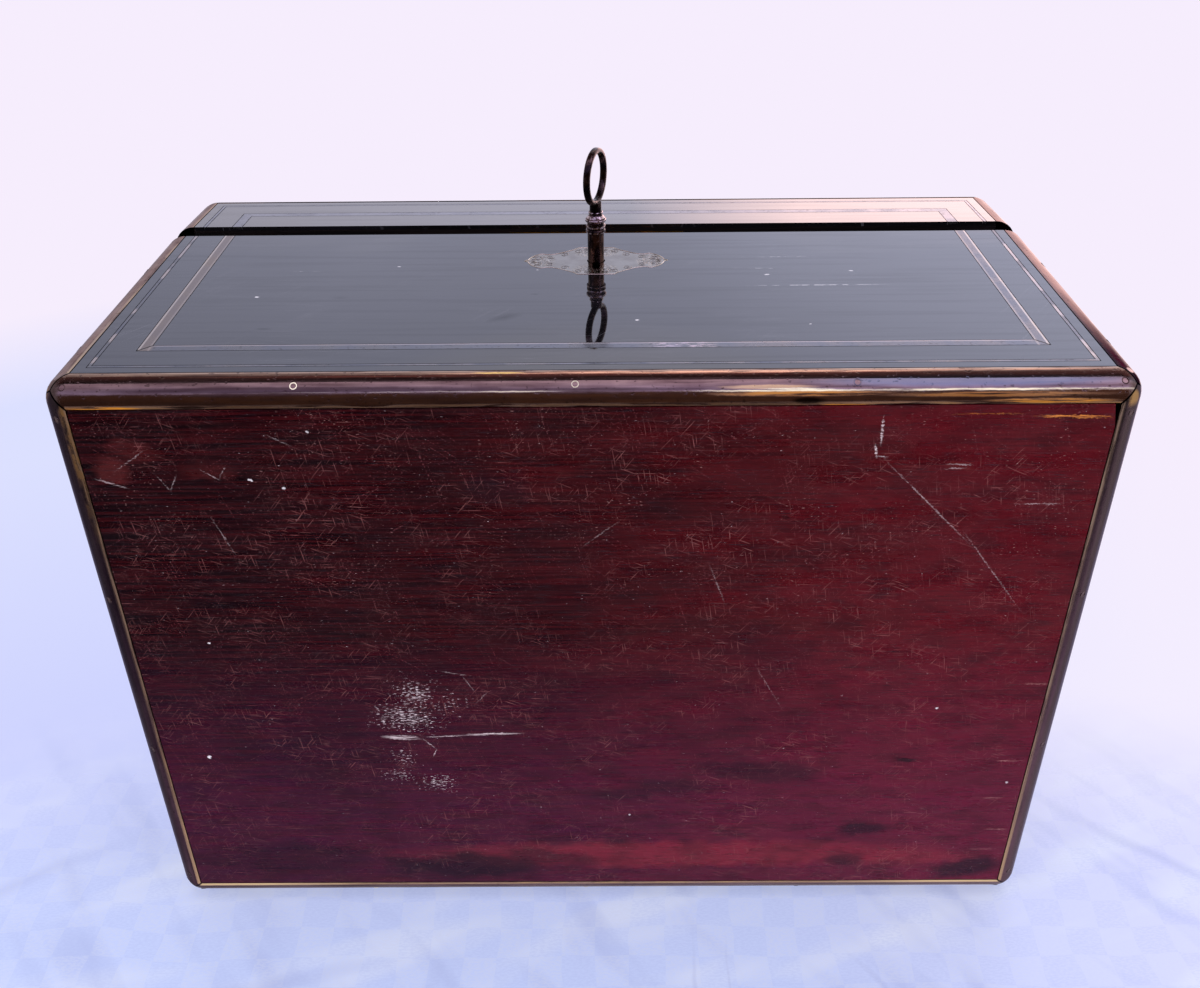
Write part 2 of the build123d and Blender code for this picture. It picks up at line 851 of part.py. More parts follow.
bolt_front = (lock_front + wall_back - bolt_thickness) / 2
bolt_low = key_z + bit_radius + bolt_gap
bar_top = bolt_low + bolt_bar_height
nose_low = bar_top + bolt_gap
nose_top = nose_low + hook_nose_height
finger_low = nose_top + finger_gap
finger_top = finger_low + finger_height
hook_lefts = [lock_x - hook_pitch / 2, lock_x + hook_pitch / 2]
case_half = lock_width / 2
case_low = body_height - lock_height
selvedge_low = body_height - selvedge_thickness
inside_low = case_low + lock_plate
inside_front = lock_front + lock_plate
cap_front = wall_back - lock_plate
guide_z = bolt_low + bolt_bar_height / 2
guide_xs = (lock_x - guide_left, lock_x + guide_right)

with BuildPart() as lock_case:
    block(
        (lock_x - case_half, lock_x + case_half),
        (lock_front, cap_front),
        (case_low, selvedge_low),
    )
    block(
        (lock_x - case_half + lock_plate, lock_x + case_half - lock_plate),
        (inside_front, cap_front),
        (inside_low, selvedge_low),
        Mode.SUBTRACT,
    )
    block(
        (lock_x - selvedge_width / 2, lock_x + selvedge_width / 2),
        (wall_back - selvedge_front, wall_back),
        (selvedge_low, body_height),
    )
    for hook_left in hook_lefts:
        block(
            (hook_left - hook_play, hook_left + hook_nose + hook_shank + hook_play),
            (bolt_front - hook_play, bolt_front + bolt_thickness + hook_play),
            (selvedge_low, body_height),
            Mode.SUBTRACT,
        )
    with BuildSketch(facing_front(inside_front)):
        with Locations(*[(x, guide_z) for x in guide_xs]):
            Circle(guide_radius)
    extrude(amount=-(cap_front - inside_front))
    with BuildSketch(facing_front(lock_front)):
        with Locations((lock_x, key_z)):
            Circle(barrel_radius + running_gap)
    extrude(amount=-lock_plate, mode=Mode.SUBTRACT)
    add(keyway.part, mode=Mode.SUBTRACT)
    add(lock_screw_holes.part, mode=Mode.SUBTRACT)

with BuildPart() as lock_cap:
    block(
        (lock_x - case_half, lock_x + case_half),
        (cap_front, wall_back),
        (case_low, selvedge_low),
    )
    with BuildSketch(facing_front(cap_front)):
        with Locations((lock_x, key_z)):
            Circle(drill_pin_radius)
    extrude(amount=cap_front - inside_front)

finger_tip = hook_nose + finger_end_gap
upright_right = finger_tip + finger_length
upright_left = upright_right + finger_root
bolt_left = hook_lefts[0] + hook_nose - upright_left
bolt_right = lock_x + bolt_reach
guide_slot = 2 * (guide_radius + running_gap)
with BuildPart() as lock_bolt:
    with BuildSketch(facing_front(bolt_front)):
        with Locations(((bolt_left + bolt_right) / 2, (bolt_low + bar_top) / 2)):
            Rectangle(bolt_right - bolt_left, bolt_bar_height)
        for hook_left in hook_lefts:
            shank_left = hook_left + hook_nose
            upright = (shank_left - upright_left, shank_left - upright_right)
            finger = (shank_left - upright_left, shank_left - finger_tip)
            with Locations(((upright[0] + upright[1]) / 2, (bar_top + finger_top) / 2)):
                Rectangle(upright[1] - upright[0], finger_top - bar_top)
            with Locations(((finger[0] + finger[1]) / 2, (finger_low + finger_top) / 2)):
                Rectangle(finger[1] - finger[0], finger_height)
        for guide_x in guide_xs:
            with Locations((guide_x - bolt_throw / 2, guide_z)):
                SlotOverall(guide_slot + bolt_throw + 2 * running_gap, guide_slot, mode=Mode.SUBTRACT)
    extrude(amount=-bolt_thickness)

with BuildPart() as lock_spring:
    block(
        (lock_x - case_half + lock_plate, lock_x - bit_radius - spring_end_gap),
        (bolt_front + spring_inset, bolt_front + bolt_thickness - spring_inset),
        (bolt_low - spring_gap - spring_thickness, bolt_low - spring_gap),
    )

with BuildPart() as lock_barrel:
    with BuildSketch(facing_front(lock_front)):
        with Locations((lock_x, key_z)):
            Circle(barrel_radius)
            Circle(stem_radius + 2 * running_gap, mode=Mode.SUBTRACT)
        with Locations((lock_x, key_z - barrel_radius)):
            Rectangle(bit_thickness + key_clearance, 2 * barrel_radius, mode=Mode.SUBTRACT)
    extrude(amount=-(cap_front - key_clearance - lock_front))

with BuildPart() as link_plate:
    add(link_recess.part)
    add(lid_screw_holes.part, mode=Mode.SUBTRACT)
    with BuildSketch(facing_front(bolt_front)):
        for hook_left in hook_lefts:
            with Locations((hook_left + hook_nose + hook_shank / 2, (nose_low + lid_low) / 2)):
                Rectangle(hook_shank, lid_low - nose_low)
            nose_x = hook_left + (hook_nose + hook_shank) / 2
            with Locations((nose_x, (nose_low + nose_top) / 2)):
                Rectangle(hook_nose + hook_shank, hook_nose_height)
    extrude(amount=-bolt_thickness)


# Key: a hollow shank with a bit, turned collars and a flat ring

key_section = Plane(origin=(lock_x, -half_depth, key_z), x_dir=(1, 0, 0), z_dir=(0, 0, -1))
tip_height = -half_depth - key_tip
bore_height = -half_depth - lock_front
collar_groove = (collar_start + collar_end) / 2
groove_start = collar_groove - groove_half_width
groove_end = collar_groove + groove_half_width
bow_centre = bow_start + bow_outer_radius
bow_middle_radius = bow_outer_radius - bow_thickness / 2
skew = radians(bow_skew)

with BuildPart() as key:
    with BuildSketch(key_section):
        with BuildLine():
            Polyline(
                (pipe_radius, tip_height),
                (stem_radius, tip_height),
                (stem_radius, collar_start),
                (collar_radius, collar_start),
                (collar_radius, groove_start),
            )
            ThreePointArc(
                (collar_radius, groove_start),
                (collar_radius - groove_depth, collar_groove),
                (collar_radius, groove_end),
            )
            Polyline(
                (collar_radius, groove_end),
                (collar_radius, collar_end),
                (stem_radius, collar_end + collar_step),
                (stem_radius, cone_foot),
                (cone_radius, cone_start - cone_rim),
                (cone_radius, cone_start),
                (neck_radius, cone_end),
            )
            ThreePointArc(
                (neck_radius, cone_end),
                (neck_radius + neck_bead, cone_end + neck_bead),
                (neck_radius, cone_end + 2 * neck_bead),
            )
            Polyline(
                (neck_radius, cone_end + 2 * neck_bead),
                (neck_radius, bow_start + bow_thickness / 2),
                (0, bow_start + bow_thickness / 2),
                (0, bore_height + bore_point),
                (pipe_radius, bore_height),
                (pipe_radius, tip_height),
            )
        make_face()
    revolve(axis=Axis((lock_x, -half_depth, key_z), (0, -1, 0)))
    with BuildSketch(
        Plane(
            origin=(lock_x, -half_depth - bow_centre, key_z),
            x_dir=(0, 1, 0),
            z_dir=(-sin(skew), 0, -cos(skew)),
        )
    ):
        with Locations((bow_middle_radius, 0)):
            RectangleRounded(bow_thickness, bow_band, bow_thickness * 0.4)
    revolve(
        axis=Axis(
            (lock_x, -half_depth - bow_centre, key_z),
            (cos(skew), 0, -sin(skew)),
        )
    )
    block(
        (lock_x - bit_thickness / 2, lock_x + bit_thickness / 2),
        (key_tip - bit_length, key_tip - key_clearance),
        (key_z - bit_radius, key_z - (pipe_radius + stem_radius) / 2),
    )
    block(
        (lock_x - bit_thickness, lock_x + bit_thickness),
        (key_tip - ward_far, key_tip - ward_near),
        (key_z - bit_radius, key_z - bit_radius + ward_depth),
        Mode.SUBTRACT,
    )


# Every piece, under its name; the lid's pieces are turned about the hinges to stand ajar

still_pieces = {
    "base_panel": base_panel,
    "front_wall": front_wall,
    "back_wall": back_wall,
    "end_walls": body_end_walls,
    "front_veneer": front_veneer,
    "back_veneer": back_veneer,
    "end_veneers": body_end_veneers,
    "base_front_moulding": base_front_moulding,
    "base_back_moulding": base_back_moulding,
    "base_end_mouldings": base_end_mouldings,
    "corner_mouldings": corner_mouldings,
    "moulding_pins": moulding_pins,
    "front_band": front_band,
    "body_stringing": body_stringing,
    "key_plate": key_plate,
    "lock_case": lock_case,
    "lock_cap": lock_cap,
    "lock_spring": lock_spring,
    "lock_screws": lock_screws,
    "lining_floor": lining_floor,
    "lining_front": lining_front,
    "lining_back": lining_back,
    "lining_ends": lining_ends,
    "tray_bearers": tray_bearers,
    "hinge_body_leaves": hinge_body_leaves,
    "hinge_pins": hinge_pins,
    "hinge_screws": hinge_screws,
    "tray_floor": tray_floor,
    "tray_walls": tray_walls,
    "tray_divider": tray_divider,
    "key": key,
    "lock_barrel": lock_barrel,
    "lock_bolt": lock_bolt,
}
for name, piece in still_pieces.items():
    piece.part.label = name
    export_step(piece.part, f"parts/{name}.step")

lid_pieces = {
    "lid_top_board": lid_top_board,
    "lid_top_veneer": lid_top_veneer,
    "lid_front_wall": lid_front_wall,
    "lid_back_wall": lid_back_wall,
    "lid_end_walls": lid_end_walls,
    "lid_front_veneer": lid_front_veneer,
    "lid_back_veneer": lid_back_veneer,
    "lid_end_veneers": lid_end_veneers,
    "lid_front_moulding": lid_front_moulding,
    "lid_back_moulding": lid_back_moulding,
    "lid_end_mouldings": lid_end_mouldings,
    "lid_corner_mouldings": lid_corner_mouldings,
    "lid_moulding_pins": lid_moulding_pins,
    "lid_band": lid_band,
    "lid_stringing": lid_stringing,
    "lid_lining_ceiling": lid_lining_ceiling,
    "lid_lining_strips": lid_lining_strips,
    "link_plate": link_plate,
    "lid_screws": lid_screws,
    "hinge_lid_leaves": hinge_lid_leaves,
    "humidifier_case": humidifier_case,
    "humidifier_pad": humidifier_pad,
    "humidifier_cover": humidifier_cover,
}
for name, piece in lid_pieces.items():
    ajar = piece.part.rotate(hinge_axis, -ajar_angle)
    ajar.label = name
    export_step(ajar, f"parts/{name}.step")
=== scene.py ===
"""Looks of a humidor that lies on its back, with its mahogany underside towards the camera."""

import json
import math

import bpy
from mathutils import Matrix, Vector


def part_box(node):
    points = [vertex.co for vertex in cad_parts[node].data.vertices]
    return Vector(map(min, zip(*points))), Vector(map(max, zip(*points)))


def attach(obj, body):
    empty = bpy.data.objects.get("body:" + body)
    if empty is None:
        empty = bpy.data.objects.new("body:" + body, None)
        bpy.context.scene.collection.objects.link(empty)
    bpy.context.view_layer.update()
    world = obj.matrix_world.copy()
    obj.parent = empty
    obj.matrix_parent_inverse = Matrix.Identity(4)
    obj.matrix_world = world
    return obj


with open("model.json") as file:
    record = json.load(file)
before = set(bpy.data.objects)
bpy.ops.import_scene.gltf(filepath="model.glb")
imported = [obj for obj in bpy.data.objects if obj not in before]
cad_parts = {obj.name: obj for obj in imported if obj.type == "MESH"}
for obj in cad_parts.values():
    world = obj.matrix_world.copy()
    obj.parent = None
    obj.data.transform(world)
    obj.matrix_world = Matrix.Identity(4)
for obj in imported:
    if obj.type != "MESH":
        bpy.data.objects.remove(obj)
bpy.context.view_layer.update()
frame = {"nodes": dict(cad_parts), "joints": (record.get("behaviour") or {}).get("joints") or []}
scene = bpy.context.scene
scene.view_settings.view_transform = "Standard"

# Every size below is in millimetres of the box's own frame: it stands on its base, front to -Y
per_metre = 1000.0


def box_mm(node):
    """Give a node's lowest and highest corners in millimetres."""
    return [corner * per_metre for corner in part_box(node)]


def colour(code):
    """Turn an sRGB hex value to the linear colour that Blender works in."""
    parts = [int(code[i : i + 2], 16) / 255 for i in (1, 3, 5)]
    linear = [p / 12.92 if p <= 0.04045 else ((p + 0.055) / 1.055) ** 2.4 for p in parts]
    return (*linear, 1.0)


def add(tree, kind, inputs=None, **settings):
    """Add a node, set it up, and give each named input a value or a link from a socket."""
    node = tree.nodes.new(kind)
    for name, value in settings.items():
        setattr(node, name, value)
    for name, value in (inputs or {}).items():
        socket = node.inputs[name]
        if isinstance(value, bpy.types.NodeSocket):
            tree.links.new(value, socket)
        else:
            socket.default_value = value
    return node


half_width, half_depth, _ = box_mm("corner_mouldings")[1]
edge_radius = box_mm("base_front_moulding")[1].z
panel_x = half_width - edge_radius
panel_y = half_depth - edge_radius
hinge_back = box_mm("hinge_pins")[1].y
lid_hinge = next(joint for joint in frame["joints"] if joint["name"] == "lid_hinge")


# Patterns that several finishes share


def start_finish(name):
    """Start a material: give it, its tree and the place on the piece in millimetres."""
    material = bpy.data.materials.new(name)
    material.use_nodes = True
    tree = material.node_tree
    tree.nodes.clear()
    point = add(tree, "ShaderNodeTexCoord").outputs["Object"]
    place = add(tree, "ShaderNodeMapping", {"Vector": point, "Scale": [per_metre] * 3}).outputs[0]
    return material, tree, place


def end_finish(tree, inputs, relief=None, depth=0.05):
    """End a material with its shader, and with a relief of so many millimetres if it has one."""
    if relief is not None:
        bump = add(
            tree, "ShaderNodeBump", {"Height": relief, "Distance": depth / per_metre}
        ).outputs[0]
        inputs = {**inputs, "Normal": bump, "Coat Normal": bump}
    shader = add(tree, "ShaderNodeBsdfPrincipled", inputs).outputs[0]
    add(tree, "ShaderNodeOutputMaterial", {0: shader})


def patches(tree, place, size, low, high, turn=0.0, detail=2.0):
    """Mask where a cloudy noise is high: size is the length of its spots along each axis."""
    stretched = add(
        tree,
        "ShaderNodeMapping",
        {"Vector": place, "Rotation": (0, 0, math.radians(turn)), "Scale": size},
        vector_type="TEXTURE",
    ).outputs[0]
    noise = add(tree, "ShaderNodeTexNoise", {"Vector": stretched, "Scale": 1.0, "Detail": detail})
    return add(
        tree,
        "ShaderNodeMapRange",
        {"Value": noise.outputs[0], "From Min": low, "From Max": high},
    ).outputs[0]


def on_face(tree, place, across, up):
    """Lay the place flat on a face, as what runs across it and up it."""
    parts = add(tree, "ShaderNodeSeparateXYZ", {0: place}).outputs
    return add(tree, "ShaderNodeCombineXYZ", {0: parts[across], 1: parts[up]}).outputs[0]


def ragged(tree, place, grain, reach):
    """Shake a place by a noise, so that marks drawn at it get ragged edges."""
    shake = add(tree, "ShaderNodeTexNoise", {"Vector": place, "Scale": 1 / grain, "Detail": 3.0})
    around = add(
        tree,
        "ShaderNodeVectorMath",
        {0: shake.outputs[1], 1: (0.5, 0.5, 0.5)},
        operation="SUBTRACT",
    ).outputs[0]
    moved = add(
        tree,
        "ShaderNodeVectorMath",
        {0: around, 1: (reach, reach, 0.0), 2: place},
        operation="MULTIPLY_ADD",
    )
    return moved.outputs[0]


def marks(tree, place, listed, core=0.55):
    """Mask listed marks: (x, y, half length, half width, turn in degrees, strength) of each."""
    found = 0.0
    for x, y, half_length, half_width, turn, strength in listed:
        near = add(
            tree,
            "ShaderNodeMapping",
            {
                "Vector": place,
                "Location": (x, y, 0),
                "Rotation": (0, 0, math.radians(turn)),
                "Scale": (half_length, half_width, 1),
            },
            vector_type="TEXTURE",
        ).outputs[0]
        distance = add(tree, "ShaderNodeVectorMath", {0: near}, operation="LENGTH").outputs["Value"]
        inside = add(
            tree,
            "ShaderNodeMapRange",
            {"Value": distance, "From Min": 1.0, "From Max": core, "To Max": strength},
        ).outputs[0]
        found = add(tree, "ShaderNodeMath", {0: found, 1: inside}, operation="MAXIMUM").outputs[0]
    return found


def both(tree, *masks):
    """Keep only what lies in every mask."""
    kept = masks[0]
    for mask in masks[1:]:
        kept = add(tree, "ShaderNodeMath", {0: kept, 1: mask}, operation="MULTIPLY").outputs[0]
    return kept


def layered(tree, ground, layers):
    """Lay colours over a ground, each where its mask is and at its strength."""
    for mask, code, strength in layers:
        share = add(tree, "ShaderNodeMath", {0: mask, 1: strength}, operation="MULTIPLY").outputs[0]
        ground = add(
            tree, "ShaderNodeMix", {0: share, 6: ground, 7: colour(code)}, data_type="RGBA"
        ).outputs[2]
    return ground


def between(tree, value, low, high, soft):
    """Mask where a value lies between two limits, with soft edges."""
    middle, half = (low + high) / 2, (high - low) / 2
    off = add(tree, "ShaderNodeMath", {0: value, 1: middle}, operation="SUBTRACT").outputs[0]
    off = add(tree, "ShaderNodeMath", {0: off}, operation="ABSOLUTE").outputs[0]
    return add(
        tree,
        "ShaderNodeMapRange",
        {"Value": off, "From Min": half + soft, "From Max": half},
    ).outputs[0]


def hairlines(tree, place, turns, share, length=38):
    """Mask fine rubbed scratches of about a length that run at the given turns."""
    found = 0.0
    for turn in turns:
        size = (length, 0.42, 0.42)
        line = patches(tree, place, size, share, share + 0.05, turn=turn, detail=1.0)
        found = add(tree, "ShaderNodeMath", {0: found, 1: line}, operation="MAXIMUM").outputs[0]
    return found


def largest(tree, *values):
    """Give the largest of several values."""
    top = values[0]
    for value in values[1:]:
        top = add(tree, "ShaderNodeMath", {0: top, 1: value}, operation="MAXIMUM").outputs[0]
    return top


def shaded(tree, value, ground, steps):
    """Turn from one colour to the next as a value rises: (start, full, colour) for each step."""
    shade = colour(ground)
    for start, full, code in steps:
        reach = add(
            tree, "ShaderNodeMapRange", {"Value": value, "From Min": start, "From Max": full}
        ).outputs[0]
        shade = add(
            tree, "ShaderNodeMix", {0: reach, 6: shade, 7: colour(code)}, data_type="RGBA"
        ).outputs[2]
    return shade


# Camera, stage and light

camera_place = (3.761, -271.021, -307.471)
camera_pitch = 32.501
camera_swing = -0.329
camera_roll = -0.541
camera_lens = 35.17


def photo_direction(right, away, up):
    """Turn a direction of the photograph, where the box lies on its back, to the box's frame."""
    return Vector((right, -up, away))


def set_camera():
    """Put the camera where the photograph was taken from."""
    pitch, swing, roll = map(math.radians, (camera_pitch, camera_swing, camera_roll))
    forward = photo_direction(
        math.sin(swing) * math.cos(pitch), math.cos(swing) * math.cos(pitch), -math.sin(pitch)
    )
    level = forward.cross(photo_direction(0, 0, 1)).normalized()
    upright = level.cross(forward)
    right = level * math.cos(roll) + upright * math.sin(roll)
    up = upright * math.cos(roll) - level * math.sin(roll)
    camera = bpy.data.objects.new("camera", bpy.data.cameras.new("camera"))
    camera.data.lens = camera_lens
    turn = Matrix((right, up, -forward)).transposed().to_4x4()
    camera.matrix_world = Matrix.Translation(Vector(camera_place) / per_metre) @ turn
    scene.collection.objects.link(camera)
    scene.camera = camera


# What the polished parts mirror, as the angle turns from the far side over the top to the
# camera's side: (angle where it starts, angle where it is full, colour)
mirrored = [
    (-170, -153, "#080406"),
    (-146, -125, "#9483A8"),
    (-122, -90, "#8C8A9F"),
    (-80, -35, "#9E9EB4"),
    (-25, 0, "#D3CEDE"),
    (0, 13, "#D9D6E8"),
    (15, 21, "#C2C4DC"),
    (28, 38, "#E3DBD9"),
    (49, 54, "#6A4A4C"),
    (62, 80, "#35282C"),
    (82, 85, "#0E0A0C"),
    (86, 89, "#DCD0F0"),
    (100, 138, "#C2BDF2"),
    (141, 146, "#5A4238"),
    (150, 175, "#4A3428"),
]
mirrored_ground = "#4A3428"
mirrored_strength = 1.3
# The studio is brighter to the right: how much so for each unit of a direction's share in X
mirrored_slope = 0.8
mirrored_reach = 0.4
# What stands at either side, and the share in X where it starts to be mirrored and is full
mirrored_aside = "#8A8894"
aside_starts, aside_full = 0.66, 0.9
# A warm window low on the far right: where it starts and is full, in X, upwards and in Z
window_glow = "#F4BEA6"
window_bounds = [(0.02, 0.16), (0.33, 0.24), (0.6, 0.8)]
# What the camera sees behind the box, as the view turns down towards the table
backdrop_ground = "#F6EDFD"
backdrop_left = [
    (0.36, 0.42, "#DCE0FF"),
    (0.46, 0.62, "#CFD4FF"),
    (0.64, 0.76, "#C6CFFE"),
]
backdrop_right = [
    (0.45, 0.60, "#F3EDFF"),
    (0.62, 0.78, "#DDDDFF"),
]
# Where the backdrop turns from its left colours to its right ones
backdrop_turn = (-0.3, 0.42)
# A bluer stretch low in its middle: from, to and softness across, start and full downwards
backdrop_middle = "#B8CBFE"
middle_across = (-0.18, 0.12, 0.16)
middle_down = (0.62, 0.78)
# What lights the rough parts from all round
fill_colour = "#E4E4EC"


def set_world():
    """Light the box softly from all round, with panels for its polish and brass to mirror."""
    world = bpy.data.worlds.new("studio")
    scene.world = world
    world.use_nodes = True
    tree = world.node_tree
    tree.nodes.clear()
    direction = add(tree, "ShaderNodeTexCoord").outputs["Generated"]
    x, y, z = add(tree, "ShaderNodeSeparateXYZ", {0: direction}).outputs
    up = add(tree, "ShaderNodeMath", {0: y, 1: -1.0}, operation="MULTIPLY").outputs[0]
    sweep = add(tree, "ShaderNodeMath", {0: up, 1: z}, operation="ARCTAN2").outputs[0]
    angle = add(tree, "ShaderNodeMath", {0: sweep}, operation="DEGREES").outputs[0]
    panels = shaded(tree, angle, mirrored_ground, mirrored)
    aside = add(tree, "ShaderNodeMath", {0: x}, operation="ABSOLUTE").outputs[0]
    aside = add(
        tree,
        "ShaderNodeMapRange",
        {"Value": aside, "From Min": aside_starts, "From Max": aside_full},
    ).outputs[0]
    panels = layered(tree, panels, [(aside, mirrored_aside, 1.0)])
    bounds = []
    for part, (starts, full) in zip((x, up, z), window_bounds):
        bound = add(
            tree, "ShaderNodeMapRange", {"Value": part, "From Min": starts, "From Max": full}
        )
        bounds.append(bound.outputs[0])
    window = add(
        tree,
        "ShaderNodeMix",
        {0: both(tree, *bounds), 6: panels, 7: colour(window_glow)},
        data_type="RGBA",
        blend_type="ADD",
    ).outputs[2]
    sides, lower = [
        add(tree, "ShaderNodeMapRange", {"Value": part, "From Min": starts, "From Max": full})
        for part, (starts, full) in ((x, backdrop_turn), (y, middle_down))
    ]
    left = shaded(tree, y, backdrop_ground, backdrop_left)
    right = shaded(tree, y, backdrop_ground, backdrop_right)
    behind = add(
        tree, "ShaderNodeMix", {0: sides.outputs[0], 6: left, 7: right}, data_type="RGBA"
    ).outputs[2]
    low_middle = both(tree, between(tree, x, *middle_across), lower.outputs[0])
    behind = layered(tree, behind, [(low_middle, backdrop_middle, 0.85)])
    paths = add(tree, "ShaderNodeLightPath").outputs
    shiny = add(
        tree,
        "ShaderNodeMath",
        {0: paths["Is Glossy Ray"], 1: paths["Is Transmission Ray"]},
        operation="MAXIMUM",
    ).outputs[0]
    slope = add(
        tree,
        "ShaderNodeMapRange",
        {
            "Value": x,
            "From Min": -mirrored_reach,
            "From Max": mirrored_reach,
            "To Min": mirrored_strength * (1 - mirrored_slope * mirrored_reach),
            "To Max": mirrored_strength * (1 + mirrored_slope * mirrored_reach),
        },
    ).outputs[0]
    fill = add(tree, "ShaderNodeBackground", {0: colour(fill_colour), 1: 1.0}).outputs[0]
    panels = add(tree, "ShaderNodeBackground", {0: window, 1: slope}).outputs[0]
    seen = add(tree, "ShaderNodeBackground", {0: behind, 1: 1.0}).outputs[0]
    lit = add(tree, "ShaderNodeMixShader", {0: shiny, 1: fill, 2: panels}).outputs[0]
    whole = add(tree, "ShaderNodeMixShader", {0: paths["Is Camera Ray"], 1: lit, 2: seen})
    add(tree, "ShaderNodeOutputWorld", {0: whole.outputs[0]})


# Soft lamps: (name, place, side of its square, power in watts, colour)
lamps = [
    ("overhead", (150, -1300, 100), 1100, 7.0, "#FFF6F2"),
    ("near", (-250, -700, -1100), 900, 5.0, "#F4F2FF"),
    ("above_lid", (500, -500, 1300), 900, 5.0, "#FFF8F0"),
    ("behind", (-600, 1200, 600), 900, 4.0, "#FFF8F0"),
]


def set_lamps():
    """Hang the soft lamps, each turned to the box."""
    for name, place, side, power, code in lamps:
        lamp = bpy.data.lights.new(name, "AREA")
        lamp.size = side / per_metre
        lamp.energy = power
        lamp.color = colour(code)[:3]
        holder = bpy.data.objects.new(name, lamp)
        holder.location = Vector(place) / per_metre
        holder.rotation_mode = "QUATERNION"
        holder.rotation_quaternion = holder.location.to_track_quat("Z", "Y")
        holder.visible_glossy = False
        scene.collection.objects.link(holder)


# The cloth lies a little off the box, and takes this share of its light from the lamps
cloth_gap = 0.5
cloth_share = 0.45
# How far the sheets reach, and how far from the box each cloth shows before it fades out
stage_side = 600
table_near = -500
table_far = 118
edge_fade = 100
table_shown = (360, 100, 260)
floor_shown = (460, 420, 100)


def cloth_material(name, shade_of, middle, reach, far_edge):
    """A pale cloth, seen from its front only, that fades out away from the box and at its edge."""
    material, tree, place = start_finish(name)
    parts = add(tree, "ShaderNodeSeparateXYZ", {0: place}).outputs
    shade = shade_of(tree, parts)
    centred = add(
        tree,
        "ShaderNodeMapping",
        {"Vector": place, "Location": middle, "Scale": reach},
        vector_type="TEXTURE",
    ).outputs[0]
    distance = add(tree, "ShaderNodeVectorMath", {0: centred}, operation="LENGTH").outputs["Value"]
    near = add(
        tree,
        "ShaderNodeMapRange",
        {"Value": distance, "From Min": 1.0, "From Max": 0.72},
        interpolation_type="SMOOTHSTEP",
    ).outputs[0]
    inward = add(
        tree,
        "ShaderNodeMapRange",
        {"Value": parts["Z"], "From Min": far_edge, "From Max": far_edge - edge_fade},
    ).outputs[0]
    near = add(tree, "ShaderNodeMath", {0: near, 1: inward}, operation="MULTIPLY").outputs[0]
    behind = add(tree, "ShaderNodeNewGeometry").outputs["Backfacing"]
    in_front = add(tree, "ShaderNodeMath", {0: 1.0, 1: behind}, operation="SUBTRACT").outputs[0]
    camera_ray = add(tree, "ShaderNodeLightPath").outputs["Is Camera Ray"]
    shown = add(tree, "ShaderNodeMath", {0: near, 1: in_front}, operation="MULTIPLY").outputs[0]
    shown = add(tree, "ShaderNodeMath", {0: shown, 1: camera_ray}, operation="MULTIPLY").outputs[0]
    glow = add(tree, "ShaderNodeEmission", {0: shade, 1: 1.0}).outputs[0]
    lit = add(tree, "ShaderNodeBsdfDiffuse", {0: shade}).outputs[0]
    cloth = add(tree, "ShaderNodeMixShader", {0: cloth_share, 1: glow, 2: lit}).outputs[0]
    clear = add(tree, "ShaderNodeBsdfTransparent").outputs[0]
    whole = add(tree, "ShaderNodeMixShader", {0: shown, 1: clear, 2: cloth})
    add(tree, "ShaderNodeOutputMaterial", {0: whole.outputs[0]})
    return material


# Creases of the table's cloth, drawn as lines of painted shade, as marks() takes them: places are x
# and z
crease_painted_shade = [
    (36, -55, 42, 1.2, 88, 0.7),
    (49, -55, 42, 0.8, 90, 0.6),
    (-66, -60, 40, 5, 82, 0.5),
    (112, -52, 34, 2.0, -58, 0.8),
    (150, -62, 40, 6, -66, 0.8),
    (-130, -40, 60, 5, 14, 0.5),
    (230, 20, 70, 4, -40, 0.6),
    (-235, 10, 60, 5, 30, 0.4),
]
damask_square = 13.0


def table_shade(tree, parts):
    """White damask: woven squares, soft fold ridges in painted light with painted shade in their
    troughs and along crease lines, painted light towards the right, bluer towards the camera.
    """
    x, z = parts["X"], parts["Z"]
    ground = shaded(tree, z, "#C2D2FF", [(-130, -20, "#CAD6FF"), (-20, 90, "#D0D6FF")])
    flat = add(tree, "ShaderNodeCombineXYZ", {0: x, 1: z}).outputs[0]
    wavy = ragged(tree, flat, 60.0, 12.0)
    squares = add(tree, "ShaderNodeTexChecker", {"Vector": wavy, "Scale": 1 / damask_square})
    threads = patches(tree, flat, (1.6, 0.7, 1), 0.4, 0.6)
    # The flat cloth's fold ridges take painted light, and their troughs painted shade
    fold_ridge_painted_light = patches(tree, wavy, (90, 24, 1), 0.5, 0.72, turn=24)
    fold_trough_painted_shade = patches(tree, wavy, (80, 20, 1), 0.52, 0.74, turn=-52)
    # Painted light: the cloth is lighter towards the right
    right = add(
        tree, "ShaderNodeMapRange", {"Value": x, "From Min": 60.0, "From Max": 240.0}
    ).outputs[0]
    return layered(
        tree,
        ground,
        [
            (right, "#DCDCFF", 0.7),
            (fold_ridge_painted_light, "#E4EAFF", 0.7),
            (fold_trough_painted_shade, "#AAB4E4", 0.5),
            (both(tree, squares.outputs["Fac"], threads), "#F4F6FF", 0.24),
            (threads, "#AEBAEE", 0.18),
            (marks(tree, wavy, crease_painted_shade, core=0.1), "#A4ACDC", 0.55),
        ],
    )


def floor_shade(tree, parts):
    """The floor below the standing box: pale, and a little bluer towards the back."""
    return shaded(tree, parts["Y"], "#EDEAFA", [(-200, 300, "#E6E6FC")])


def plane(name, corners, material):
    """Make a flat sheet of the stage from four corners in millimetres."""
    mesh = bpy.data.meshes.new(name)
    mesh.from_pydata([Vector(corner) / per_metre for corner in corners], [], [(0, 1, 2, 3)])
    mesh.materials.append(material)
    sheet = bpy.data.objects.new(name, mesh)
    scene.collection.objects.link(sheet)
    return sheet


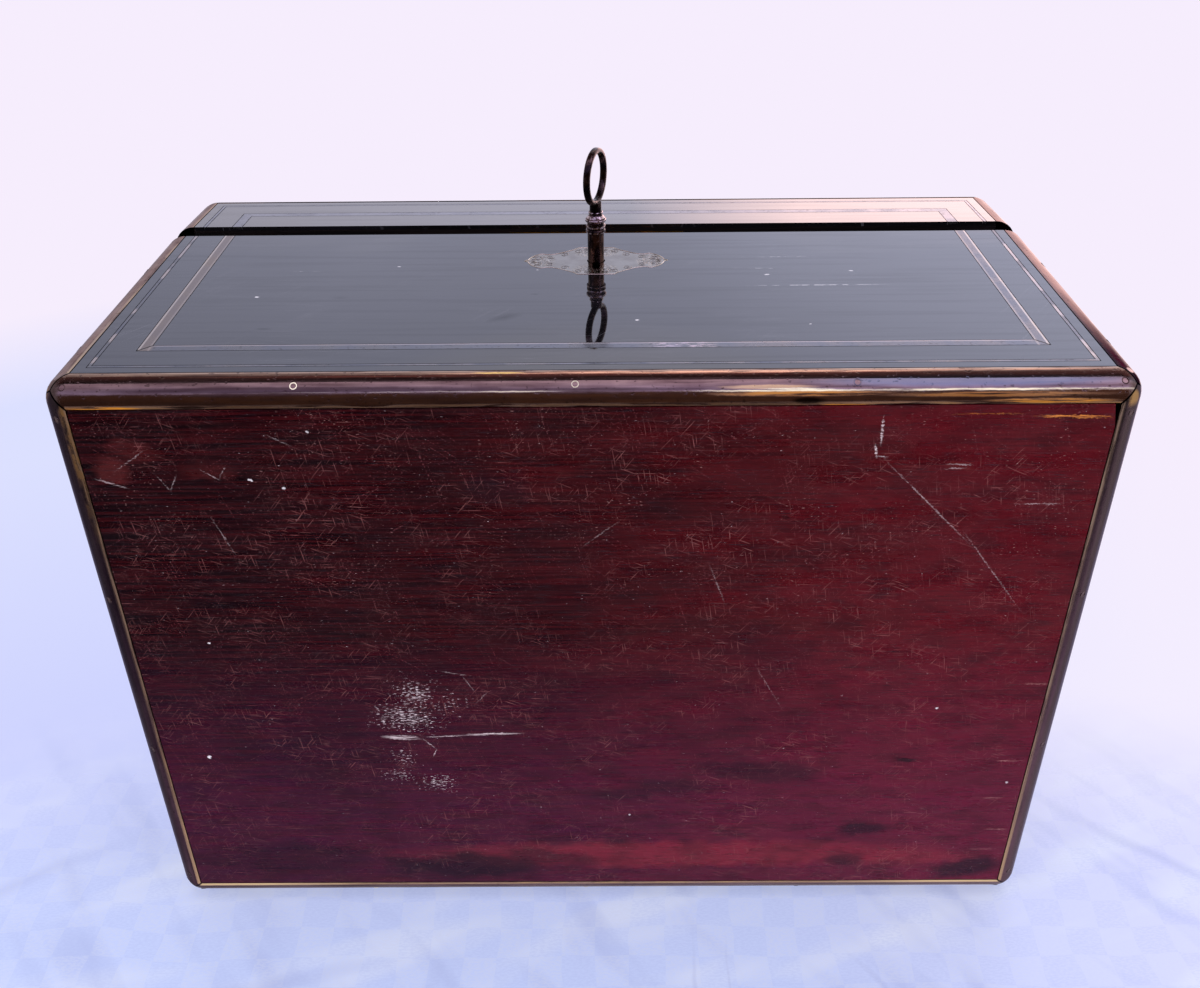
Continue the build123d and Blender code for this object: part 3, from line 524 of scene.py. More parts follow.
def set_stage():
    """Lay the table behind the box's back, and a floor under its base for the other views."""
    back, level, side = hinge_back + cloth_gap, -cloth_gap, stage_side
    table = cloth_material("table_cloth", table_shade, (0, back, 0), table_shown, table_far)
    corners = [(-side, table_near), (side, table_near), (side, table_far), (-side, table_far)]
    plane("table", [(x, back, z) for x, z in corners], table)
    floor = cloth_material("floor_cloth", floor_shade, (0, 0, level), floor_shown, side)
    corners = [(-side, -side), (side, -side), (side, side), (-side, side)]
    plane("floor", [(x, y, level) for x, y in corners], floor)


# Underside: places are x across and y down the photograph

# The underside's tone across it: painted shade at the left, turning to painted light, a lit red,
# towards the right
underside_painted_shade = "#0C0104"
underside_painted_light_ramp = [
    (-120, -50, "#1E0206"),
    (-50, 20, "#300408"),
    (20, 90, "#520A12"),
    (90, 150, "#660E1B"),
]
red_streak = [
    (30, 90, 122, 9, 0, 0.75),
    (110, 92, 40, 6, 0, 0.7),
]
dark_stains = [
    (-50, 96, 38, 9, 0, 0.9),
    (-20, 91, 22, 5, 8, 0.7),
    (101, 77, 12, 4.5, -10, 0.8),
    (61, 46, 28, 6, 5, 0.6),
    (20, 55, 30, 5, -6, 0.45),
    (143, 99, 16, 6, -12, 0.9),
    (96, 94, 10, 5, 0, 0.7),
    (-120, 92, 40, 12, 0, 0.5),
    (-95, 40, 30, 26, 0, 0.35),
    (-30, -78, 12, 8, 0, 0.35),
    (60, -12, 22, 12, 20, 0.3),
]
worn_patches = [
    (-148.4, -85, 6.5, 5.5, 0, 0.9),
    (-140, -92, 9, 5, 15, 0.5),
    (-118, -84, 10, 4, 0, 0.4),
    (112, -84.5, 5, 1.8, 0, 0.8),
]
scuffed = [
    (-67, 18, 20, 14, 0, 1.0),
    (-63, 7, 14, 11, 0, 0.9),
    (-52, 12, 13, 13, 0, 0.6),
    (-70, 38, 9, 7, 40, 0.65),
    (-73, 47, 9, 6, 0, 0.7),
    (-59, 50, 13, 9, 8, 0.85),
]
pale_scratches = [
    (-70, 27.8, 8, 1.3, 3, 1.0),
    (-55, 27.4, 10, 0.35, -2, 0.8),
    (-38, 26.4, 13, 0.75, -2, 1.0),
    (-60.4, 30.8, 3.6, 0.28, 50, 0.9),
    (-58.6, 35.6, 2.6, 0.28, 112, 0.85),
    (87.0, -97, 5.5, 0.5, 88, 1.0),
    (86.0, -90, 3.0, 0.45, 78, 1.0),
    (88.5, -88, 2.6, 0.4, 10, 0.5),
    (104.8, -70.8, 25, 0.32, 45.8, 0.42),
    (128.9, -44.6, 21.6, 0.32, 53.2, 0.38),
    (139.5, -70.4, 9.6, 0.3, 0.5, 0.45),
    (112.3, -85.0, 5, 0.35, 2, 0.45),
    (111.0, -83.6, 4, 0.3, -3, 0.4),
    (-133, -80, 4, 0.25, 60, 0.4),
    (-130, -80, 4, 0.25, -62, 0.35),
    (-118, -83, 4, 0.25, 35, 0.4),
    (-114, -84, 3, 0.25, -58, 0.35),
    (-142, -88, 7, 0.28, -35, 0.45),
    (-149, -80, 6, 0.4, 20, 0.55),
    (-44, 3, 5, 0.25, 62, 0.35),
    (-40, 9, 4, 0.25, -50, 0.3),
    (-48, -2, 6, 0.25, 12, 0.35),
    (40, -40, 10, 0.25, 70, 0.25),
    (2, -60, 9, 0.25, -40, 0.22),
    (60, 5, 14, 0.25, 62, 0.2),
    (-118, -60, 9, 0.3, 70, 0.3),
    (-95, -95, 5, 0.25, 30, 0.25),
]
chips = [
    (-140.6, 37, 0.9, 0.8, 0, 1.0),
    (-130.8, -16.3, 0.6, 0.5, 0, 0.9),
    (119.8, 15, 0.7, 0.5, 0, 0.9),
    (-106, -81, 0.9, 0.5, 30, 0.8),
    (-96, -78, 0.7, 0.5, 0, 0.7),
    (-86, -98, 0.6, 0.4, 0, 0.6),
    (151, 52, 0.7, 0.5, 0, 0.6),
    (12, 68, 0.5, 0.4, 0, 0.5),
]
dark_dents = [
    (111.9, 40.3, 4.5, 1.3, 12, 0.8),
    (60, -66, 2.0, 0.7, 0, 0.6),
    (-20, 20, 1.5, 0.6, 0, 0.5),
]
gold_smudge = [
    (144, -101.5, 13, 0.65, 1, 1.0),
    (118, -102.6, 12, 0.25, 0, 0.35),
]
edge_dashes = [
    (160, -16, 4, 0.4, 0, 0.6),
    (152, 4, 6, 0.35, 0, 0.55),
    (150, 41, 6, 0.4, 0, 0.6),
    (146, 60, 6, 0.4, 0, 0.5),
    (151, 77, 5, 0.4, 0, 0.6),
    (148, 88, 6, 0.4, 0, 0.5),
]


def mahogany_underside():
    """Plain mahogany under old shellac: red-brown, pored along the grain, scuffed to bare wood; its
    tone runs from painted shade on the left to painted light, a lit red, on the right.
    """
    material, tree, place = start_finish("mahogany_under_worn_shellac")
    face = on_face(tree, place, "X", "Y")
    across, down, _ = add(tree, "ShaderNodeSeparateXYZ", {0: place}).outputs
    drift = patches(tree, place, (60, 14, 14), 0.3, 0.7, detail=4.0)
    swing = add(tree, "ShaderNodeMath", {0: drift, 1: 70.0, 2: across}, operation="MULTIPLY_ADD")
    ground = shaded(tree, swing.outputs[0], underside_painted_shade, underside_painted_light_ramp)
    torn = ragged(tree, face, 9.0, 9.0)
    frayed = ragged(tree, face, 0.8, 1.3)
    grain = patches(tree, place, (34, 0.8, 0.8), 0.42, 0.62, detail=4.0)
    mottled = patches(tree, place, (15, 6, 6), 0.46, 0.64, detail=4.0)
    dark_grain = patches(tree, place, (20, 0.45, 0.45), 0.5, 0.66, turn=0.6, detail=3.0)
    short_scratches = both(
        tree,
        hairlines(tree, face, (2, 24, -52, 81), 0.675, length=9),
        patches(tree, place, (34, 22, 22), 0.42, 0.62),
    )
    pores = patches(tree, place, (7, 0.34, 0.34), 0.6, 0.68, detail=1.0)
    flecks = patches(tree, place, (0.9, 0.5, 0.5), 0.52, 0.6)
    streaky = patches(tree, place, (5, 0.5, 0.5), 0.4, 0.56, detail=4.0)
    small_flecks = both(
        tree,
        patches(tree, place, (1.3, 0.4, 0.4), 0.7, 0.74, detail=1.0),
        patches(tree, place, (26, 18, 18), 0.44, 0.6),
    )
    upper = add(
        tree, "ShaderNodeMapRange", {"Value": down, "From Min": 50.0, "From Max": -60.0}
    ).outputs[0]
    lower = add(
        tree, "ShaderNodeMapRange", {"Value": down, "From Min": -20.0, "From Max": 60.0}
    ).outputs[0]
    rubbed = both(tree, hairlines(tree, face, (38, -30, 72), 0.66), flecks)
    fibres = patches(tree, place, (1.7, 0.34, 0.34), 0.0, 1.0, detail=3.0)
    scraped = add(
        tree,
        "ShaderNodeMath",
        {0: marks(tree, torn, scuffed, core=0.1), 1: 0.2, 2: fibres},
        operation="MULTIPLY_ADD",
    ).outputs[0]
    scuffs = add(
        tree, "ShaderNodeMapRange", {"Value": scraped, "From Min": 0.73, "From Max": 0.77}
    ).outputs[0]
    lines = both(tree, marks(tree, frayed, pale_scratches, core=0.2), streaky)
    tint = layered(
        tree,
        ground,
        [
            (upper, "#140206", 0.3),
            (lower, "#64184A", 0.34),
            (marks(tree, torn, red_streak), "#8E2636", 0.8),
            (mottled, "#16040C", 0.36),
            (grain, "#74141C", 0.2),
            (marks(tree, torn, dark_stains), "#180C1A", 0.85),
            (marks(tree, torn, worn_patches), "#642222", 0.6),
            (dark_grain, "#12040A", 0.28),
            (pores, "#0C0406", 0.5),
            (short_scratches, "#A06462", 0.45),
            (rubbed, "#8C4A50", 0.45),
            (scuffs, "#E6D4DA", 0.95),
            (lines, "#F0DCE0", 0.9),
            (marks(tree, torn, dark_dents), "#0C0508", 0.9),
            (both(tree, marks(tree, frayed, edge_dashes), streaky), "#C08A86", 0.8),
            (both(tree, marks(tree, frayed, gold_smudge), streaky), "#E08A3C", 0.9),
            (both(tree, small_flecks, upper), "#B08480", 0.6),
            (marks(tree, frayed, chips), "#F4ECF2", 1.0),
        ],
    )
    dull = patches(tree, place, (30, 9, 9), 0.35, 0.65, detail=3.0)
    rough = add(
        tree, "ShaderNodeMapRange", {"Value": dull, "To Min": 0.22, "To Max": 0.4}
    ).outputs[0]
    relief = both(tree, pores, dark_grain)
    end_finish(
        tree,
        {"Base Color": tint, "Roughness": rough, "IOR": 1.5, "Specular IOR Level": 0.3},
        relief=add(tree, "ShaderNodeMath", {0: 1.0, 1: relief}, operation="SUBTRACT").outputs[0],
        depth=0.12,
    )
    return material


# Front: places are x across and z up from the base

front_smears = [
    (-29, 47, 8, 3, 30, 0.8),
    (-106, 39, 3.2, 0.8, 0, 0.9),
    (-86, 64, 4, 2, 0, 0.4),
    (-29, 47, 6, 0.8, 32, 1.0),
    (-20, 66, 2.0, 0.7, 0, 0.8),
]
front_specks = [
    (-114.6, 65.2, 0.9, 0.6, 0, 1.0),
    (14.3, 44.0, 0.8, 0.6, 0, 0.9),
    (-20, 88, 0.6, 0.4, 0, 0.5),
    (70, 40, 0.5, 0.4, 0, 0.5),
    (61, 82, 1.2, 0.5, 0, 0.7),
    (91, 85, 0.9, 0.5, 0, 0.7),
    (-70, 92, 0.6, 0.5, 0, 0.6),
]
front_scratches = [
    (78, 72.3, 27, 0.35, 0.3, 0.9),
    (66, 99, 16, 0.3, 0.5, 0.45),
    (-103, 88, 6, 0.3, 0, 0.4),
    (60, 88, 14, 0.25, -3, 0.4),
]

ripple_depth = 0.02
# The veneer has sunk a little towards the lock, which foreshortens the key's mirror image: the
# slope, the height that it turns about, and how far from the middle it starts and is full
dish_slope = 0.036
dish_height = 60.0
dish_edge, dish_full = 95.0, 15.0


def french_polish(name, smears=(), specks=(), scratches=(), dished=False):
    """Ebonised wood under French polish: near black, mirrors softly, hazed by old rubbing."""
    material, tree, place = start_finish(name)
    face = on_face(tree, place, "X", "Z")
    frayed = ragged(tree, face, 2.0, 1.2)
    haze = patches(tree, place, (46, 30, 18), 0.35, 0.7, detail=3.0)
    dashes = patches(tree, place, (4, 2, 2), 0.46, 0.54)
    fine = both(
        tree,
        hairlines(tree, face, (4, -8, 52), 0.68),
        patches(tree, place, (30, 30, 30), 0.45, 0.6),
    )
    tint = layered(
        tree,
        colour("#0B0A0C"),
        [
            (haze, "#15131A", 0.6),
            (fine, "#6C6A74", 0.35),
            (marks(tree, frayed, smears), "#020203", 1.0),
            (marks(tree, frayed, specks), "#E8E2EA", 1.0),
            (both(tree, marks(tree, face, scratches, core=0.2), dashes), "#D8D4DE", 0.9),
        ],
    )
    rough = add(
        tree, "ShaderNodeMapRange", {"Value": haze, "To Min": 0.02, "To Max": 0.06}
    ).outputs[0]
    rubbing = patches(tree, place, (70, 3, 3), 0.48, 0.66, detail=4.0)
    dulled = largest(
        tree, both(tree, rubbing, 0.16), both(tree, marks(tree, frayed, smears, core=0.1), 0.5)
    )
    shine = add(tree, "ShaderNodeMath", {0: 1.0, 1: dulled}, operation="SUBTRACT").outputs[0]
    ripple = patches(tree, place, (30, 30, 20), 0.3, 0.7, detail=1.0)
    if dished:
        x, _, z = add(tree, "ShaderNodeSeparateXYZ", {0: place}).outputs
        side = add(tree, "ShaderNodeMath", {0: x}, operation="ABSOLUTE").outputs[0]
        middle = add(
            tree,
            "ShaderNodeMapRange",
            {"Value": side, "From Min": dish_edge, "From Max": dish_full},
            interpolation_type="SMOOTHSTEP",
        ).outputs[0]
        fall = add(tree, "ShaderNodeMath", {0: z, 1: dish_height}, operation="SUBTRACT").outputs[0]
        ripple = add(
            tree,
            "ShaderNodeMath",
            {0: both(tree, middle, fall), 1: dish_slope / ripple_depth, 2: ripple},
            operation="MULTIPLY_ADD",
        ).outputs[0]
    end_finish(
        tree,
        {
            "Base Color": tint,
            "Roughness": rough,
            "IOR": 1.6,
            "Coat Weight": shine,
            "Coat Roughness": 0.03,
            "Coat IOR": 1.6,
        },
        relief=ripple,
        depth=ripple_depth,
    )
    return material


# Brass mouldings

# On the near moulding, places are x and the arc in millimetres, from the front round to the base
# Painted highlights, pink, along the top of the round
near_pink_highlight = [
    (30, 1.5, 82, 0.9, 0, 1.0),
    (-70, 2.5, 60, 0.4, 0, 0.4),
    (120, 1.1, 40, 0.45, 0, 0.5),
]
# Painted yellow glints
near_yellow_glints = [
    (-28, 1.3, 9, 0.6, 0, 1.0),
    (52, 7.0, 16, 0.8, 0, 0.7),
]
# A painted reflection: the bluish band that the round mirrors
near_blue_reflection = [
    (112, 5.3, 56, 2.3, 0, 0.7),
]
# A rubbed pale ridge with a painted cream highlight on it
near_cream_wear_and_highlight = [
    (60, 8.1, 40, 0.45, 0, 1.0),
    (120, 8.15, 60, 0.52, 0, 1.0),
    (60, 7.8, 14, 0.6, 0, 1.0),
    (-50, 7.8, 60, 0.2, 0, 0.3),
    (-24, 7.9, 20, 0.3, 0, 0.6),
]
# Brass rubbed to gold, with a painted orange highlight on it
near_gold_wear_and_highlight = [
    (62, 9.0, 30, 1.0, 0, 0.8),
    (120, 9.6, 38, 1.0, 0, 0.55),
    (136, 11.6, 22, 0.9, 0, 0.9),
    (-146, 12.3, 13, 0.6, 0, 1.0),
    (75, 12.5, 9, 0.3, 0, 0.9),
]
# Painted shade that narrows the mirrored band
near_painted_shade = [
    (-88, 7.0, 78, 1.2, 0, 0.9),
    (-10, 7.5, 60, 0.7, 0, 0.6),
]
# Dark marks along the round
near_dark_marks = [
    (64, 11.2, 6, 1.3, 0, 1.0),
    (-60, 3.6, 36, 0.6, 0, 0.5),
    (30, 3.2, 50, 0.5, 0, 0.5),
]
# On the ball corners, places are x and z
ball_gold = [
    (-163.4, 4.6, 1.0, 1.6, 15, 1.0),
    (161, 1.2, 2.6, 0.8, 30, 0.8),
]
joint_half = 0.3
# Brass rubbed dull scatters light, which the shader gives as a part that is no mirror
worn_metal = 0.15
# Width of the soft change from the box's left to its right
middle_fade = 9.0


def on_side(tree, x, side):
    """Mask the right of the box for a side of 1, and its left for -1."""
    return add(
        tree, "ShaderNodeMapRange", {"Value": x, "From Min": 0.0, "From Max": side * middle_fade}
    ).outputs[0]


def near_marks(tree, place, edge):
    """Lay out the near moulding's painted highlights, painted reflection and painted shade, and its
    worn and dark stretches, along its round.
    """
    x, y, z = add(tree, "ShaderNodeSeparateXYZ", {0: place}).outputs
    down = add(tree, "ShaderNodeMath", {0: edge_radius, 1: z}, operation="SUBTRACT").outputs[0]
    out = add(tree, "ShaderNodeMath", {0: -panel_y, 1: y}, operation="SUBTRACT").outputs[0]
    turn = add(tree, "ShaderNodeMath", {0: down, 1: out}, operation="ARCTAN2").outputs[0]
    arc = add(tree, "ShaderNodeMath", {0: turn, 1: edge_radius}, operation="MULTIPLY").outputs[0]
    unrolled = add(tree, "ShaderNodeCombineXYZ", {0: x, 1: arc}).outputs[0]
    frayed = ragged(tree, unrolled, 3.0, 0.5)
    broken = patches(tree, unrolled, (16, 0.8, 1), 0.34, 0.5, detail=3.0)
    middle = between(tree, x, -118, 52, 26)
    orange = both(tree, marks(tree, frayed, near_gold_wear_and_highlight), broken)
    cream = both(tree, marks(tree, frayed, near_cream_wear_and_highlight, core=0.3), broken)
    layers = [
        (both(tree, marks(tree, frayed, near_pink_highlight), broken), "#FFC4AC", 0.95),
        (marks(tree, frayed, near_blue_reflection), "#76889A", 0.9),
        (both(tree, edge, middle), "#2A1810", 0.8),
        (marks(tree, frayed, near_painted_shade), "#4A3638", 0.8),
        (orange, "#D08410", 0.95),
        (marks(tree, frayed, near_dark_marks), "#1A1210", 0.9),
        (marks(tree, frayed, near_yellow_glints), "#FFD890", 0.85),
        (cream, "#FFF2D2", 1.0),
    ]
    return layers, largest(tree, orange, cream)


def upright_marks(tree, place, edge):
    """Darken the right uprights with painted shade, most near the base, and rub the left ones to a
    paler brass, their edges with a painted highlight too.
    """
    x, _, z = add(tree, "ShaderNodeSeparateXYZ", {0: place}).outputs
    right, left = on_side(tree, x, 1), on_side(tree, x, -1)
    low = add(tree, "ShaderNodeMapRange", {"Value": z, "From Min": 70.0, "From Max": 20.0})
    layers = [
        # Painted shade on the right uprights, deepest near the base; the left ones' edges rubbed
        # pale with a painted highlight
        (right, "#7A7074", 0.75),
        (both(tree, right, low.outputs[0]), "#2E2A32", 0.75),
        (both(tree, left, edge), "#FFE4BC", 0.7),
    ]
    return layers, 0.0


def end_marks(tree, place, _edge):
    """Darken the ends with painted shade, the left one low down, both most towards the front, and
    rub their inner edges to gold: most at the back, and front left.
    """
    x, y, z = add(tree, "ShaderNodeSeparateXYZ", {0: place}).outputs
    right, left = on_side(tree, x, 1), on_side(tree, x, -1)
    low = add(tree, "ShaderNodeMapRange", {"Value": z, "From Min": 3.2, "From Max": 2.0})
    ahead = add(
        tree,
        "ShaderNodeMapRange",
        {"Value": y, "From Min": 90.0, "From Max": -10.0, "To Min": 0.3},
    )
    back = add(
        tree,
        "ShaderNodeMapRange",
        {"Value": y, "From Min": 30.0, "From Max": 112.0, "To Min": 0.25},
    )
    rubbed = both(tree, inner_edge(tree, z), back.outputs[0])
    inner = add(tree, "ShaderNodeMapRange", {"Value": z, "From Min": 0.5, "From Max": 0.25})
    front = add(tree, "ShaderNodeMapRange", {"Value": y, "From Min": -50.0, "From Max": -92.0})
    mottled = patches(tree, place, (2.5, 5, 2.5), 0.36, 0.6, detail=4.0)
    handled = both(tree, left, inner.outputs[0], front.outputs[0], mottled)
    layers = [
        # Painted shade: the left end's lower half and the whole right end, deeper towards the front
        (both(tree, low.outputs[0], left, ahead.outputs[0]), "#3A3036", 0.8),
        (right, "#8A7668", 0.8),
        (both(tree, right, ahead.outputs[0]), "#54464A", 0.5),
        (rubbed, "#C4A07C", 0.95),
        (handled, "#86602E", 0.85),
    ]
    return layers, largest(tree, rubbed, both(tree, handled, 0.7))


def inner_edge(tree, z):
    """Mask the mouldings' lowest tenth of a millimetre, which lies beside the underside."""
    return add(
        tree, "ShaderNodeMapRange", {"Value": z, "From Min": 0.14, "From Max": 0.06}
    ).outputs[0]


def back_marks(tree, place, _edge):
    """Rub the back moulding's inner edge to pale gold, most at its two ends."""
    x, _, z = add(tree, "ShaderNodeSeparateXYZ", {0: place}).outputs
    side = add(tree, "ShaderNodeMath", {0: x}, operation="ABSOLUTE").outputs[0]
    ends = add(
        tree,
        "ShaderNodeMapRange",
        {"Value": side, "From Min": 90.0, "From Max": 130.0, "To Min": 0.4},
    )
    rubbed = both(tree, inner_edge(tree, z), ends.outputs[0])
    return [(rubbed, "#EACB98", 0.95)], rubbed


def patinated_brass(
    name, along, more=None, joints=False, light=0.0, shade=0.0, grazing="#FFFFFF"
):
    """Solid brass with a brown patina: it mirrors darkly, and shows gold where hands rub it."""
    material, tree, place = start_finish(name)
    stretch = [1.6] * 3
    stretch[along] = 26.0
    drift = patches(tree, place, (6, 6, 6), 0.35, 0.68, detail=4.0)
    streaks = patches(tree, place, stretch, 0.4, 0.64, detail=4.0)
    spots = patches(tree, place, (1.3, 1.3, 1.3), 0.64, 0.7, detail=2.0)
    broken = patches(tree, place, [s * 0.7 for s in stretch], 0.4, 0.56, detail=3.0)
    facing = add(tree, "ShaderNodeTexCoord").outputs["Normal"]
    facing = add(tree, "ShaderNodeVectorMath", {0: facing}, operation="ABSOLUTE").outputs[0]
    parts = list(add(tree, "ShaderNodeSeparateXYZ", {0: facing}).outputs)
    end_face = add(
        tree, "ShaderNodeMapRange", {"Value": parts[along], "From Min": 0.85, "From Max": 0.95}
    ).outputs[0]
    under = 0.0 if along == 2 else parts[2]
    level = largest(tree, *[part for axis, part in enumerate(parts[:2]) if axis != along])
    rubbed_under = add(
        tree, "ShaderNodeMapRange", {"Value": under, "From Min": 0.988, "From Max": 0.997}
    ).outputs[0]
    rubbed_beside = add(
        tree, "ShaderNodeMapRange", {"Value": level, "From Min": 0.99, "From Max": 0.998}
    ).outputs[0]
    x, y, z = add(tree, "ShaderNodeSeparateXYZ", {0: place}).outputs
    rubbed = both(tree, rubbed_under, broken)
    beside = both(tree, rubbed_beside, broken)
    edge = beside if along == 2 else rubbed
    own_layers, worn = more(tree, place, edge) if more else ((), 0.0)
    worn = largest(tree, rubbed, worn)
    layers = [
        (drift, "#8A706C", 0.7),
        (streaks, "#5C4240", 0.7),
        (drift, "#DCC8BC", light),
        # Painted shade over the whole piece, as strong as asked
        (1.0, "#120E10", shade),
        (beside, "#E4CABE", 0.6),
        (rubbed, "#8A5E26", 0.85),
        (spots, "#3C2A24", 0.5),
        *own_layers,
    ]
    if joints:
        sides = add(tree, "ShaderNodeVectorMath", {0: place}, operation="ABSOLUTE").outputs[0]
        reach_x, reach_y, _ = add(tree, "ShaderNodeSeparateXYZ", {0: sides}).outputs
        past = [
            add(tree, "ShaderNodeMath", {0: reach_x, 1: panel_x}, operation="SUBTRACT").outputs[0],
            add(tree, "ShaderNodeMath", {0: reach_y, 1: panel_y}, operation="SUBTRACT").outputs[0],
            add(tree, "ShaderNodeMath", {0: edge_radius, 1: z}, operation="SUBTRACT").outputs[0],
        ]
        own = past.pop(along)
        least = add(tree, "ShaderNodeMath", {0: past[0], 1: past[1]}, operation="MINIMUM")
        off = add(
            tree, "ShaderNodeMath", {0: least.outputs[0], 1: own}, operation="SUBTRACT"
        ).outputs[0]
        joint = add(
            tree,
            "ShaderNodeMapRange",
            {"Value": off, "From Min": 2 * joint_half, "From Max": joint_half},
        ).outputs[0]
        near = add(
            tree, "ShaderNodeMapRange", {"Value": y, "From Min": 2 - panel_y, "From Max": -panel_y}
        ).outputs[0]
        gold = both(tree, marks(tree, on_face(tree, place, "X", "Z"), ball_gold), near)
        layers += [
            (gold, "#FFC878", 0.9),
            (joint, "#060405", 1.0),
        ]
    layers.append((end_face, "#1A1412", 1.0))
    tint = layered(tree, colour("#A48A80"), layers)
    rough = add(
        tree, "ShaderNodeMapRange", {"Value": streaks, "To Min": 0.1, "To Max": 0.26}
    ).outputs[0]
    rough = largest(tree, rough, both(tree, worn, 0.6))
    mirrors = add(
        tree, "ShaderNodeMapRange", {"Value": worn, "To Min": 1.0, "To Max": worn_metal}
    ).outputs[0]
    glance = colour(grazing)
    # The right uprights' grazing mirror is greyed, and darkened towards the base: painted shade
    if along == 2:
        right = on_side(tree, x, 1)
        low = add(tree, "ShaderNodeMapRange", {"Value": z, "From Min": 70.0, "From Max": 15.0})
        right_low_painted_shade = both(tree, right, low.outputs[0])
        glance = layered(tree, glance, [(right, "#C6BEBC", 0.8), (right_low_painted_shade, "#8A8488", 0.8)])
    end_finish(
        tree,
        {
            "Base Color": tint,
            "Metallic": mirrors,
            "Roughness": rough,
            "Specular Tint": glance,
        },
        relief=add(tree, "ShaderNodeMath", {0: drift, 1: spots}, operation="SUBTRACT").outputs[0],
        depth=0.03,
    )
    return material


# Inlay, key plate and key

band_outer = box_mm("front_band")[1].x
band_low = box_mm("front_band")[0].z
band_width = 3.7
mitre_half = 0.3
rubbed_edge = 0.6
# Where along the band's near arm its brass is rubbed bright
band_rubbed = (20, 36)
# Strips in the front look like its polish: how far behind the front this starts and is full
tarnish_starts, tarnish_full = 3.0, 1.5


def inlaid_brass(name, band=False, lid=False):
    """Brass strip let in flush: tarnished like the polish round it, pale where it is rubbed."""
    material, tree, place = start_finish(name)
    x, y, z = add(tree, "ShaderNodeSeparateXYZ", {0: place}).outputs
    cloudy = patches(tree, place, (9, 9, 9), 0.35, 0.65, detail=4.0)
    spots = patches(tree, place, (1.6, 1.2, 1.2), 0.58, 0.68)
    ahead = add(
        tree,
        "ShaderNodeMapRange",
        {
            "Value": y,
            "From Min": tarnish_starts - half_depth,
            "From Max": tarnish_full - half_depth,
        },
    ).outputs[0]
    # The lid's strips are made paler than the front's: painted light
    polish_like = "#9A9CA6" if lid else "#84868E"
    layers = [(cloudy, "#A89078", 0.6), (ahead, polish_like, 0.95), (spots, "#3A302E", 0.4)]
    if band:
        side = add(tree, "ShaderNodeMath", {0: x}, operation="ABSOLUTE").outputs[0]
        inner = band_outer - band_width
        inside = add(
            tree, "ShaderNodeMapRange", {"Value": side, "From Min": inner, "From Max": inner - 1}
        ).outputs[0]
        arm = add(tree, "ShaderNodeMath", {0: 1.0, 1: inside}, operation="SUBTRACT").outputs[0]
        outer_rim = between(tree, side, band_outer - rubbed_edge, band_outer, 0.15)
        inner_rim = between(tree, side, inner, inner + rubbed_edge, 0.15)
        top = band_low + band_width
        across = between(tree, z, band_low, top, 0.1)
        near_rim = both(tree, between(tree, z, top - rubbed_edge, top, 0.1), inside)
        from_end = add(tree, "ShaderNodeMath", {0: band_outer, 1: side}, operation="SUBTRACT")
        from_low = add(tree, "ShaderNodeMath", {0: z, 1: band_low}, operation="SUBTRACT")
        off = add(
            tree,
            "ShaderNodeMath",
            {0: from_end.outputs[0], 1: from_low.outputs[0]},
            operation="SUBTRACT",
        ).outputs[0]
        mitre = both(tree, between(tree, off, -mitre_half, mitre_half, 0.15), across)
        rubbed = both(
            tree,
            between(tree, x, *band_rubbed, 3.0),
            inside,
            across,
            patches(tree, place, (3.0, 0.7, 0.7), 0.5, 0.6),
        )
        layers += [
            (both(tree, arm, on_side(tree, x, -1)), "#A4948A", 0.8),
            (both(tree, outer_rim, arm), "#E8DACE", 0.8),
            (both(tree, inner_rim, arm), "#CFC2BA", 0.5),
            (near_rim, "#D8CCCC", 0.65),
            (rubbed, "#E6D2DC", 0.75),
            (mitre, "#0A0808", 1.0),
        ]
    elif not lid:
        dashes = patches(tree, place, (14, 14, 14), 0.5, 0.56, detail=1.0)
        up = add(
            tree,
            "ShaderNodeMapRange",
            {"Value": z, "From Min": 13.5, "From Max": 16, "To Min": 0.2},
        ).outputs[0]
        layers.append((both(tree, dashes, ahead, up), "#E4D4CE", 0.7))
    tint = layered(tree, colour("#BEAC9A"), layers)
    rough = add(
        tree, "ShaderNodeMapRange", {"Value": cloudy, "To Min": 0.14, "To Max": 0.3}
    ).outputs[0]
    end_finish(tree, {"Base Color": tint, "Metallic": 1.0, "Roughness": rough})
    return material


# Middle of the key plate
plate_x = 0.8
plate_z = 96.5


def engraved_plate():
    """Engraved brass rubbed thin and grey: cut leaves read as pale and dark flecks at its ends."""
    material, tree, place = start_finish("engraved_plate_brass")
    face = on_face(tree, place, "X", "Z")
    cuts = patches(tree, place, (1.1, 1.1, 0.7), 0.5, 0.56, turn=30)
    pale = patches(tree, place, (0.9, 0.9, 0.8), 0.54, 0.6, turn=-20)
    where = marks(
        tree,
        face,
        [
            (plate_x - 20.5, plate_z, 6.5, 6.5, 0, 1.0),
            (plate_x + 20.5, plate_z, 6.5, 6.5, 0, 1.0),
            (plate_x, plate_z + 8.0, 9.0, 5.5, 0, 1.0),
            (plate_x, plate_z - 8.0, 9.0, 5.5, 0, 1.0),
        ],
    )
    tint = layered(
        tree,
        colour("#A8A49C"),
        [
            (patches(tree, place, (6, 6, 6), 0.4, 0.65, detail=3.0), "#908A82", 0.7),
            (both(tree, cuts, where), "#6A645E", 0.7),
            (both(tree, pale, where), "#E4DED4", 0.5),
        ],
    )
    end_finish(
        tree,
        {"Base Color": tint, "Metallic": 1.0, "Roughness": 0.12},
        relief=both(tree, cuts, where),
        depth=-0.04,
    )
    return material


# Turned rims of the key, where highlights are painted, and the top of its shank, as heights from
# the front face
key_highlight_bands = [(11.0, 11.5), (12.9, 13.4), (15.0, 15.8), (16.3, 17.0), (17.8, 18.4)]
shank_top = 10.0


